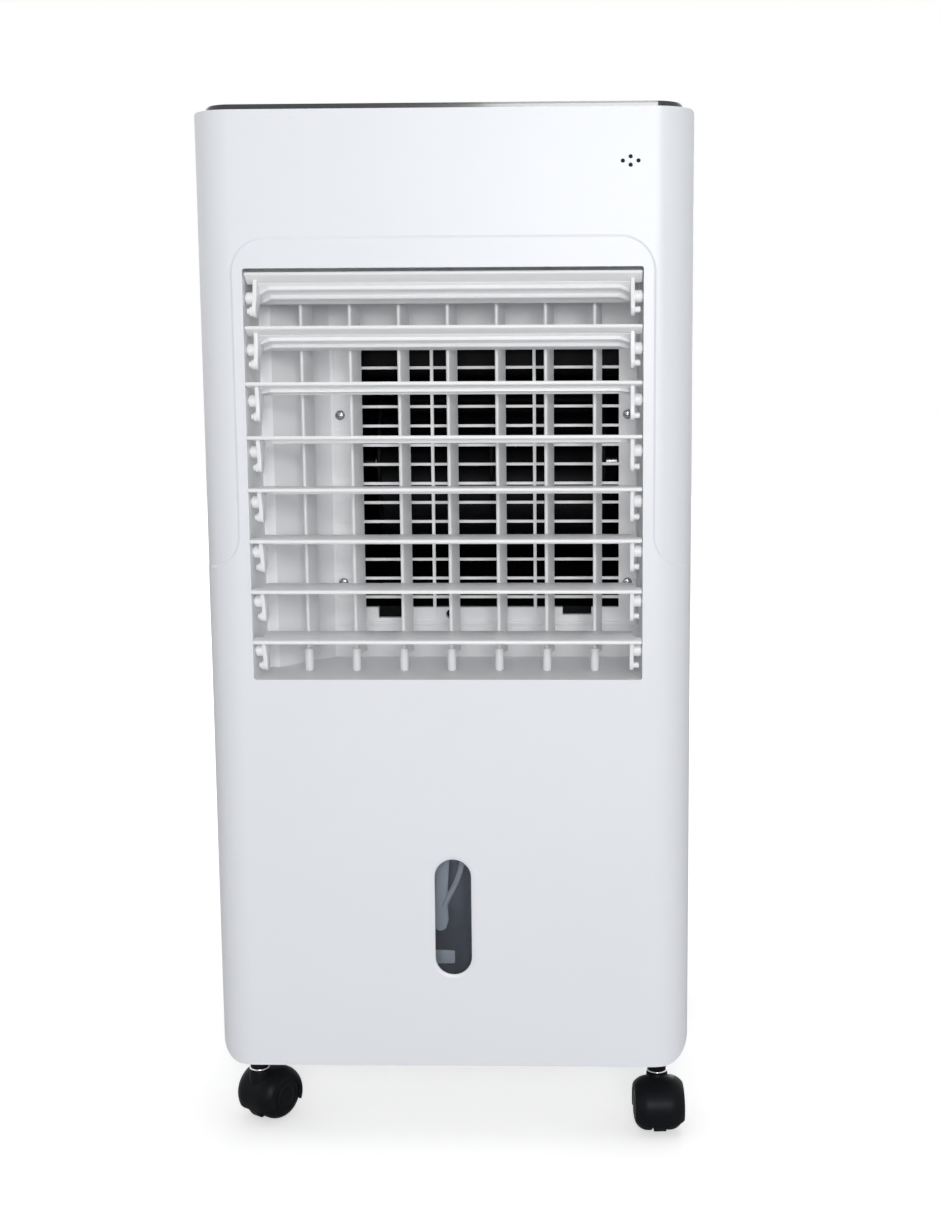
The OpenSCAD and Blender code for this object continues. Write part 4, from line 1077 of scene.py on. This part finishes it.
@dataclass
class Blower:
    """The drum blower behind the guard."""

    shop: Workshop
    blades: int = 30
    lean: float = 11.0
    ring_w: float = 9.0 * MM
    ring_t: float = 3.0 * MM
    blade_t: float = 1.1 * MM
    hub_r: float = 14.0 * MM
    hub_half: float = 14.0 * MM
    bore_r: float = 4.05 * MM
    disc_in: float = 0.6 * MM
    root_half: float = 2.0 * MM
    disc_half: float = 1.2 * MM

    def build(self) -> None:
        """Builds the wheel and dresses the parts round it."""
        self.wheel()
        self.shop.eased("blower_casing", "drum_casing", Finishes.DRUM, Edge.THIN)
        self.shop.eased("fan_motor", "fan_motor_can", Finishes.STEEL, Edge.ROUND)
        self.shop.dress("fan_shaft", Finishes.STEEL)

    def wheel(self) -> None:
        """Builds the wheel: two rings, a webbed middle disc and forward-curved blades.

        A blade's middle line has radius growing evenly and angle growing with the square
        of the way out, and its two faces lie half a thickness to either side.
        """
        low, high = corner("fan_wheel")
        radius = (high[2] - low[2]) / 2
        place = Place((0, *JOINTS["fan_spin"]["pos_m"][1:]), REAR, UP, RIGHT)
        skin = Skin()
        w, t = self.ring_w, self.ring_t
        for x0 in (low[0], high[0] - t):
            corners = [(-w / 2, -t / 2), (w / 2, -t / 2), (w / 2, t / 2), (-w / 2, t / 2)]
            ring = rounded(corners, 1.0 * MM, 3) + (radius - w / 2, x0 + t / 2)
            skin.lathe(ring, place, 96, closed=True)
        mid, disc_r = (low[0] + high[0]) / 2, radius - self.disc_in
        half = [(self.bore_r, self.hub_half), (self.hub_r, self.hub_half),
                (self.hub_r, self.root_half), (disc_r, self.disc_half)]
        corners = [(r, mid - x) for r, x in half] + [(r, mid + x) for r, x in half[::-1]]
        hub = rounded(corners, mm(0.3, 1.2, 3, 0.4, 0.4, 3, 1.2, 0.3), 3)
        skin.lathe(hub, place, 96, closed=True)
        t = np.linspace(0, 1, 9)
        reach = radius - w + 0.8 * MM + (w - 1.6 * MM) * t
        lean = math.radians(self.lean) * t**2
        half_t = self.blade_t / 2 * np.sqrt(np.clip(1 - (2 * t - 1) ** 4, 0.04, 1)) / reach
        angle = np.concatenate([lean + half_t, (lean - half_t)[::-1]])
        away = np.concatenate([reach, reach[::-1]])
        middle = np.concatenate([lean, lean[::-1]])
        thick = np.array([0.0, 1.0, 1.0, 0.0])[:, None]
        turn = np.arange(self.blades)[:, None, None] * 2 * math.pi / self.blades
        swept = turn + (middle + (angle - middle) * thick)[None]
        ends = low[0] + 1 * MM, high[0] - 1 * MM
        along = np.repeat(ends, 2)[None, :, None]
        skin.grid(place.put(stacked(away * np.cos(swept), away * np.sin(swept), along)), wrap=True)
        self.shop.skin(skin, "drum_wheel", "fan", [Finishes.DRUM], ["fan_wheel"])


@dataclass
class Water:
    """Tank, pump, hose, trays and the tank's latch."""

    shop: Workshop
    hose_r: float = 4.5 * MM
    hose_in: float = 5.1 * MM
    hose_bend: float = 13.0 * MM
    run_up: float = 32.0 * MM
    spigot: float = 14.0 * MM
    dip_r: float = 1.7 * MM
    dip_bend: float = 3.2 * MM
    bore_r: float = 3.5 * MM
    neck_r: float = 6.0 * MM

    def build(self) -> None:
        """Builds the water parts."""
        shop = self.shop
        shop.eased("water_tank", "tank_drawer", Finishes.TANK, Edge.FULL, "tank")
        shop.eased("tank_latch", "drawer_latch", Finishes.CABINET, Edge.SOFT, "latch")
        shop.eased("water_pump", "pump", Finishes.MOULDED, Edge.SOFT)
        shop.eased("drip_deck", "tank_deck", Finishes.INNER, Edge.THIN)
        shop.eased("water_tray", "spread_tray", Finishes.INNER, Edge.THIN)
        self.hose()
        self.gauge()
        self.gland()

    def gauge(self) -> None:
        """Builds what shows behind the level window: gauge rib, dip hose and foot."""
        low, high = corner("level_window")
        height = high[2] - low[2]
        middle = (low[0] + high[0]) / 2
        face = Place((middle, corner("water_tank")[0][1], low[2]), RIGHT, UP, FRONT)
        size = np.array([MM, height])
        rib = rounded(np.array([(-13, 0.40), (-10, 0.355), (-5.5, 0.375), (-3.6, 0.45),
                                (-4.2, 0.62), (-2.4, 1), (-13, 1)]) * size,
                      mm(0.5, 3, 3, 4, 8, 0.5, 0.5), 5)
        foot = rounded(np.array([(-13, 0.10), (0, 0.10), (0.2, 0.205), (-13, 0.21)]) * size,
                       1.2 * MM)
        skin = Skin()
        skin.carry(rib, (0.1 * MM, 2.6 * MM), face, ease=1.0 * MM)
        skin.carry(foot, (0.1 * MM, 1.8 * MM), face, ease=0.8 * MM)
        knots = np.array([(6.2, 1, 3.0), (4.8, 0.86, 3.4), (1.6, 0.75, 3.4), (-3.0, 0.64, 3.0),
                          (-6.0, 0.56, 2.4)]) * (MM, height, MM)
        skin.tube(bent(face.put(knots), self.dip_bend), self.dip_r)
        self.shop.skin(skin, "level_gauge", "tank", [Finishes.GAUGE])

    def hose(self) -> None:
        """Builds the riser hose on the route of its CAD solid, with its corners bent round."""
        low, high = corner("riser_hose")
        run_z = corner("drip_deck")[0][2] + self.run_up
        start_x, start_y = low[0] + self.hose_in, low[1] + self.hose_in
        riser_x, riser_y = high[0] - self.hose_in, high[1] - self.spigot
        spigot_z = high[2] - self.hose_in
        corners = np.array([(start_x, start_y, low[2]), (start_x, start_y, run_z),
                            (riser_x, riser_y, run_z), (riser_x, riser_y, spigot_z),
                            (riser_x, high[1], spigot_z)])
        skin = Skin()
        skin.tube(bent(corners, self.hose_bend), self.hose_r, sides=24)
        self.shop.skin(skin, "riser", "root", [Finishes.HOSE], ["riser_hose"])

    def gland(self) -> None:
        """Builds the cord gland: a flange and a stepped neck round its bore."""
        low, high = corner("cord_gland")
        (x, _, z), length = (low + high) / 2, high[1] - low[1]
        bore, neck, flange = self.bore_r, self.neck_r, (high[0] - low[0]) / 2
        step = length - 3 * MM
        profile = rounded([(bore, length), (bore, 0), (neck, 0), (neck, step), (flange, step),
                           (flange, length - 1.4 * MM), (neck + 0.6 * MM, length - 0.4 * MM),
                           (bore + 0.8 * MM, length)],
                          mm(0.3, 0.3, 0.5, 0.2, 0.5, 0.8, 0.5, 0.2))
        skin = Skin()
        skin.lathe(profile, Place((x, low[1], z), RIGHT, UP, REAR), 64, closed=True)
        self.shop.skin(skin, "lead_gland", "root", [Finishes.GLAND], ["cord_gland"])


@dataclass
class Intake:
    """The pull-out cartridge at the rear: grille, dust filter, cassette and pad."""

    shop: Workshop
    filter_rim: float = 4.0 * MM
    thread: float = 0.5 * MM
    thread_pitch: float = 2.6 * MM
    sheet_pitch: float = 6.0 * MM
    wave: float = 9.0 * MM
    wave_h: float = 2.6 * MM
    paper_t: float = 0.35 * MM

    def build(self) -> None:
        """Builds the cartridge's pieces."""
        body = "pad_cartridge"
        self.shop.eased("rear_grille", "intake_grille", Finishes.CABINET, Edge.SOFT, body)
        self.shop.eased("pad_cassette", "cassette", Finishes.INNER, Edge.THIN, body)
        self.filter()
        self.pad()

    def filter(self) -> None:
        """Builds the dust filter: a rim and threads crossing in two layers."""
        low, high = corner("dust_filter")
        middle, rim, half = (low[1] + high[1]) / 2, self.filter_rim, self.thread / 2
        inner_low, inner_high = low + rim, high - rim
        skin = Skin()
        skin.boxes(np.array([low, (inner_high[0], low[1], low[2]), low,
                             (low[0], low[1], inner_high[2])]),
                   np.array([(inner_low[0], high[1], high[2]), high,
                             (high[0], high[1], inner_low[2]), high]))
        xs = np.arange(inner_low[0], inner_high[0], self.thread_pitch)
        zs = np.arange(inner_low[2], inner_high[2], self.thread_pitch)
        skin.boxes(stacked(xs - half, middle - 0.3 * MM, low[2]),
                   stacked(xs + half, middle, high[2]))
        skin.boxes(stacked(low[0], middle - 0.05 * MM, zs - half),
                   stacked(high[0], middle + 0.25 * MM, zs + half))
        self.shop.skin(skin, "dust_screen", "pad_cartridge", [Finishes.MESH], ["dust_filter"])

    def pad(self) -> None:
        """Builds the pad: corrugated paper sheets whose flutes slope in turn up and down.

        A sheet's sideways offset is a sine of its height plus or minus its depth, so that
        neighbouring sheets touch where their waves cross.
        """
        low, high = corner("cooling_pad")
        count = int((high[0] - low[0] - 2 * self.wave_h) / self.sheet_pitch) + 1
        height = np.linspace(low[2], high[2], 181)[None, :, None]
        depth = np.linspace(low[1], high[1], 5)[None, None]
        sheet_x = np.linspace(low[0] + self.wave_h, high[0] - self.wave_h, count)[:, None, None]
        slope = np.where(np.arange(count) % 2 == 0, 1.0, -1.0)[:, None, None]
        offset = sheet_x + self.wave_h * np.sin(2 * math.pi / self.wave * (height + slope * depth))
        left = stacked(offset - self.paper_t / 2, depth, height)
        right = stacked(offset + self.paper_t / 2, depth, height)
        skin = Skin()
        skin.grid(np.concatenate([left, right[:, :, ::-1]], 2), wrap=True)
        self.shop.skin(skin, "wet_pad", "pad_cartridge", [Finishes.PAD], ["cooling_pad"], crease=60)


@dataclass
class Controls:
    """The top panel with its buttons, lamps and board."""

    shop: Workshop
    buttons: int = 5
    cap_r: float = 8.0 * MM
    rim_r: float = 1.0 * MM
    dish_r: float = 6.6 * MM
    dish_d: float = 0.5 * MM
    flange_r: float = 9.0 * MM
    flange_t: float = 1.1 * MM
    stem_r: float = 2.5 * MM

    def build(self) -> None:
        """Builds the controls."""
        shop = self.shop
        shop.eased("control_panel", "top_panel", Finishes.PANEL, Edge.SOFT)
        shop.eased("top_cover", "cover_tray", Finishes.INNER, Edge.THIN)
        shop.dress("control_board", Finishes.BOARD)
        shop.dress("indicator_lenses", Finishes.LENS)
        for number in range(1, self.buttons + 1):
            self.button(number)

    def button(self, number: int) -> None:
        """Builds one button: a cap with a dished top, a flange and a stem.

        Args:
            number: the button, from the left.
        """
        low, high = corner(f"button_{number}")
        x, y, _ = (low + high) / 2
        seat = corner("control_panel")[0][2] - 0.2 * MM
        foot = seat - self.flange_t
        dish = np.linspace(0, self.dish_r, 10)
        top = np.stack([dish, high[2] - self.dish_d * (1 - (dish / dish[-1]) ** 2)], 1)
        turn = np.linspace(0, math.pi / 2, 6)
        rim = np.stack([self.cap_r - self.rim_r * (1 - np.sin(turn)),
                        high[2] - self.rim_r * (1 - np.cos(turn))], 1)
        rest = np.array([(self.cap_r, seat), (self.flange_r, seat), (self.flange_r, foot),
                         (self.stem_r, foot), (self.stem_r, low[2]), (0, low[2])])
        skin = Skin()
        skin.lathe(np.vstack([top, rim, rest]), Place((x, y, 0)), 56)
        self.shop.skin(skin, f"key_{number}", f"button_{number}", [Finishes.BUTTON],
                       [f"button_{number}"])


@dataclass
class Castors:
    """Four twin-wheel castors with domed hoods."""

    shop: Workshop
    count: int = 4
    wheel_r: float = 16.5 * MM
    half_w: float = 16.0 * MM
    web: float = 4.0 * MM
    shoulder: float = 9.0 * MM
    clear: float = 0.7 * MM
    hood_t: float = 1.4 * MM
    skirt: float = 8.0 * MM
    web_foot: float = 3.0 * MM
    axle_r: float = 2.0 * MM
    axle_in: float = 2.2 * MM
    play: float = 0.05 * MM
    stem_r: float = 3.0 * MM
    boss_r: float = 7.0 * MM
    boss_foot: float = 7.0 * MM
    socket_r: float = 6.0 * MM
    collar_r: float = 6.7 * MM
    collar_t: float = 1.2 * MM
    collar_lap: float = 0.2 * MM

    def build(self) -> None:
        """Builds the castors and their chromed stems."""
        for number in range(1, self.count + 1):
            self.hood(number)
            self.wheels(number)
        self.stems()

    def axle(self, number: int) -> Place:
        """Gives where a castor's axle lies.

        Args:
            number: the castor.

        Returns:
            Place with p forwards along its roll, q up and r along the axle.
        """
        joint = JOINTS[f"castor_{number}_roll"]
        along = np.array(joint["axis"], float)
        return Place(tuple(joint["pos_m"]), tuple(np.cross(UP, along)), UP, tuple(along))

    def swivel(self, number: int) -> Place:
        """Gives the foot of a castor's swivel axis."""
        x, y, _ = JOINTS[f"castor_{number}_swivel"]["pos_m"]
        return Place((x, y, 0.0))

    def section(self, grow: float, steps: int = 22) -> Array:
        """Gives radius and place along the axle over a domed section.

        The middle is flat and each shoulder is an arc about a centre that lies one
        shoulder in from the side and from the tread.

        Args:
            grow: how far the section lies outside the wheels' own.
            steps: steps across.

        Returns:
            Radius and place along the axle, shape (steps + 1, 2).
        """
        across = self.half_w * np.sin(np.linspace(-math.pi / 2, math.pi / 2, steps + 1))
        over = np.maximum(np.abs(across) - (self.half_w - self.shoulder), 0)
        reach = self.shoulder + grow
        radius = self.wheel_r - self.shoulder + np.sqrt(np.maximum(reach**2 - over**2, 0))
        return np.stack([radius, across], 1)

    def hood(self, number: int) -> None:
        """Builds a hood: a domed shell over both wheels, its middle web and its stem boss.

        Args:
            number: the castor.
        """
        place = self.axle(number)
        name = f"castor_hood_{number}"
        top = corner(name)[1][2]
        inner, outer = self.section(self.clear), self.section(self.clear + self.hood_t)
        loop = np.vstack([outer, inner[::-1]])
        start = math.asin(-self.skirt / (self.wheel_r + self.clear + self.hood_t))
        angle = np.linspace(start, math.pi - start, 49)[:, None]
        skin = Skin()
        skin.sleeve(place.put(stacked(loop[:, 0] * np.cos(angle), loop[:, 0] * np.sin(angle),
                                      loop[:, 1])))
        web_r = self.wheel_r + self.clear + 1.0 * MM
        low = math.asin((self.web_foot - self.wheel_r) / web_r)
        arc = np.linspace(low, math.pi - low, 49)
        web = web_r * np.stack([np.cos(arc), np.sin(arc)], 1)
        skin.carry(web, (-self.web, self.web), place, ease=0.2 * MM)
        bore, foot = self.stem_r + self.play, self.wheel_r + self.boss_foot
        boss = np.array([(bore, top), (bore, foot), (self.boss_r, foot),
                         (self.boss_r, top - 1.2 * MM), (self.boss_r - 0.3 * MM, top - 0.4 * MM),
                         (self.boss_r - 1 * MM, top)])
        skin.lathe(boss, self.swivel(number), 40, closed=True)
        self.shop.skin(skin, f"castor_cover_{number}", name, [Finishes.MOULDED], [name])

    def wheels(self, number: int) -> None:
        """Builds a pair of wheels: domed treads, nearly flat sides round a cap, and the axle.

        Args:
            number: the castor.
        """
        place = self.axle(number)
        skin = Skin()
        inner, face, hub = self.web + 0.4 * MM, self.half_w, self.axle_r + self.play
        tread = self.section(0.0, 36)
        tread = tread[tread[:, 1] >= inner]
        cap = mm(7.4, 6.9, 6.6, 4.0), mm(0.12, 0.3, 0.1, 0.02)
        profile = np.vstack([
            [(hub, inner), (self.wheel_r - 1 * MM, inner), (self.wheel_r, inner + 0.8 * MM)],
            tread[1:-1],
            np.stack([cap[0], face - cap[1]], 1),
            [(0, face), (0, face - 2 * MM), (hub, face - 2 * MM)]])
        for side in (-1, 1):
            skin.lathe(profile * (1, side), place, 64, closed=True)
        end = face - self.axle_in
        skin.carry(circle(self.axle_r), (-end, end), place, ease=0.4 * MM, mark=1)
        self.shop.skin(skin, f"castor_rollers_{number}", f"castor_wheels_{number}",
                       [Finishes.MOULDED, Finishes.STEEL], [f"castor_wheels_{number}"])

    def stems(self) -> None:
        """Builds the stems with their bright collars, and the black sockets above the collars."""
        stem_low, stem_high = corner("castor_stems")
        foot, top = (c[2] for c in corner("castor_sockets"))
        near, bore = self.stem_r - self.collar_lap, self.stem_r + self.play
        ring = foot + self.collar_t
        collar = rounded([(near, foot), (self.collar_r, foot), (self.collar_r, ring), (near, ring)],
                         mm(0.1, 0.55, 0.55, 0.1), 5)
        socket = rounded([(bore, ring), (self.socket_r, ring), (self.socket_r, top), (bore, top)],
                         0.4 * MM, 3)
        bright, black = Skin(), Skin()
        for number in range(1, self.count + 1):
            place = self.swivel(number)
            bright.carry(circle(self.stem_r, 32), (stem_low[2], stem_high[2]), place, ease=0.5 * MM)
            bright.lathe(collar, place, 56, closed=True)
            black.lathe(socket, place, closed=True)
        self.shop.skin(bright, "stems", "root", [Finishes.CHROME], ["castor_stems"])
        self.shop.skin(black, "stem_sockets", "root", [Finishes.MOULDED], ["castor_sockets"])


@dataclass
class Studio:
    """Floor, light and camera."""

    eye_back: float = 1.0
    eye_x: float = 87.27 * MM
    eye_up: float = 429.66 * MM
    yaw: float = 0.0265
    pitch: float = 0.1437
    roll: float = -0.0044
    lens: float = 49.07
    shift: Pair = (-0.0627, 0.0123)
    aim_up: float = 0.3
    floor_half: float = 6.0
    floor_tones: Pair = (0.80, 0.84)
    floor_fade: Pair = (0.35, 1.6)
    floor_lift: float = 0.5
    world_level: float = 0.34
    lamps: list[tuple[str, Spot, float, float]] = field(default_factory=lambda: [
        ("front", (0.25, -2.2, 0.8), 0.7, 21.0),
        ("overhead", (0.0, -0.5, 2.6), 1.6, 10.0),
        ("left", (-2.3, 1.4, 1.2), 1.4, 2.5),
        ("right", (2.3, 1.4, 1.2), 1.4, 1.5),
        ("rear", (0.2, 2.3, 0.9), 1.0, 18.0),
    ])

    def build(self) -> None:
        """Sets up the studio round the object."""
        bpy.context.scene.view_settings.view_transform = "Standard"
        self.camera()
        self.world()
        self.floor()
        for name, spot, size, power in self.lamps:
            self.lamp(name, spot, size, power)

    def camera(self) -> None:
        """Places the camera in front of the cabinet, a little to the right and looking down."""
        front = corner("front_shell")[0]
        data = bpy.data.cameras.new("camera")
        data.lens = self.lens
        data.sensor_width = 36.0
        data.shift_x, data.shift_y = self.shift
        data.clip_end = 60.0
        level = math.cos(self.pitch)
        ahead = Vector((-math.sin(self.yaw) * level, math.cos(self.yaw) * level,
                        -math.sin(self.pitch)))
        right = Vector((math.cos(self.yaw), math.sin(self.yaw), 0.0))
        up = right.cross(ahead)
        tilt_right = math.cos(self.roll) * right + math.sin(self.roll) * up
        tilt_up = -math.sin(self.roll) * right + math.cos(self.roll) * up
        turn = Matrix((tilt_right, tilt_up, -ahead)).transposed().to_4x4()
        spot = Vector((self.eye_x, front[1] - self.eye_back, front[2] + self.eye_up))
        camera = stood("camera", data)
        camera.matrix_world = Matrix.Translation(spot) @ turn
        bpy.context.scene.camera = camera

    def world(self) -> None:
        """Lights the object evenly and shows white behind it."""
        world = bpy.data.worlds.new("studio")
        bpy.context.scene.world = world
        graph = Graph(world)
        path = graph.add("LightPath")
        seen = path.outputs["Is Camera Ray"]
        for ray in ("Is Glossy Ray", "Is Transmission Ray"):
            seen = graph.calc("MAXIMUM", seen, path.outputs[ray])
        background = graph.add("Background", Color=WHITE)
        strength = graph.ramp(seen, (0.0, 1.0), (self.world_level, 1.0))
        graph.join(strength, background.inputs["Strength"])
        graph.surface(background.outputs["Background"], "OutputWorld")

    def floor(self) -> None:
        """Lays a pale floor that shows white where no shadow falls on it."""
        reach = np.linspace(-self.floor_half, self.floor_half, 25)
        skin = Skin()
        skin.grid(stacked(reach[:, None], reach[None], 0.0))
        data = skin.mesh("floor")
        paper = bpy.data.materials.new("floor_paper")
        graph = Graph(paper)
        coords = graph.add("TexCoord").outputs["Object"]
        shader = graph.add("BsdfDiffuse")
        low, high = ((tone, tone, tone, 1.0) for tone in self.floor_tones)
        tint = graph.blend(graph.noise(coords, 60.0, 3.0), low, high)
        graph.join(tint, shader.inputs["Color"])
        away = graph.add("VectorMath", operation="LENGTH")
        graph.join(coords, away.inputs[0])
        amount = graph.ramp(away.outputs["Value"], self.floor_fade, (self.floor_lift, 1.0))
        seen = graph.add("LightPath").outputs["Is Camera Ray"]
        lift = graph.add("Emission")
        graph.join(graph.calc("MULTIPLY", seen, amount), lift.inputs["Strength"])
        both = graph.add("AddShader")
        graph.join(shader.outputs["BSDF"], both.inputs[0])
        graph.join(lift.outputs["Emission"], both.inputs[1])
        graph.surface(both.outputs["Shader"])
        data.materials.append(paper)
        floor = stood("floor", data)

    def lamp(self, name: str, spot: Spot, size: float, power: float) -> None:
        """Hangs one soft square lamp that looks at the middle of the cabinet.

        Args:
            name: name of the lamp.
            spot: its place.
            size: its side.
            power: its power in watts.
        """
        data = bpy.data.lights.new(name, "AREA")
        data.shape = "SQUARE"
        data.size = size
        data.energy = power
        lamp = stood(name, data)
        lamp.location = spot
        aim = Vector((0.0, 0.0, self.aim_up)) - Vector(spot)
        lamp.rotation_euler = aim.to_track_quat("-Z", "Y").to_euler()


def main() -> None:
    """Builds the studio and every sub-assembly."""
    logging.basicConfig(level=logging.INFO, format="%(name)s: %(message)s")
    shop = Workshop()
    Studio().build()
    for part in (Cabinet(shop), Duct(shop), Slats(shop), Vanes(shop), Blower(shop), Water(shop),
                 Intake(shop), Controls(shop), Castors(shop)):
        log.info("building %s", type(part).__name__)
        part.build()


if __name__ == "__main__":
    main()
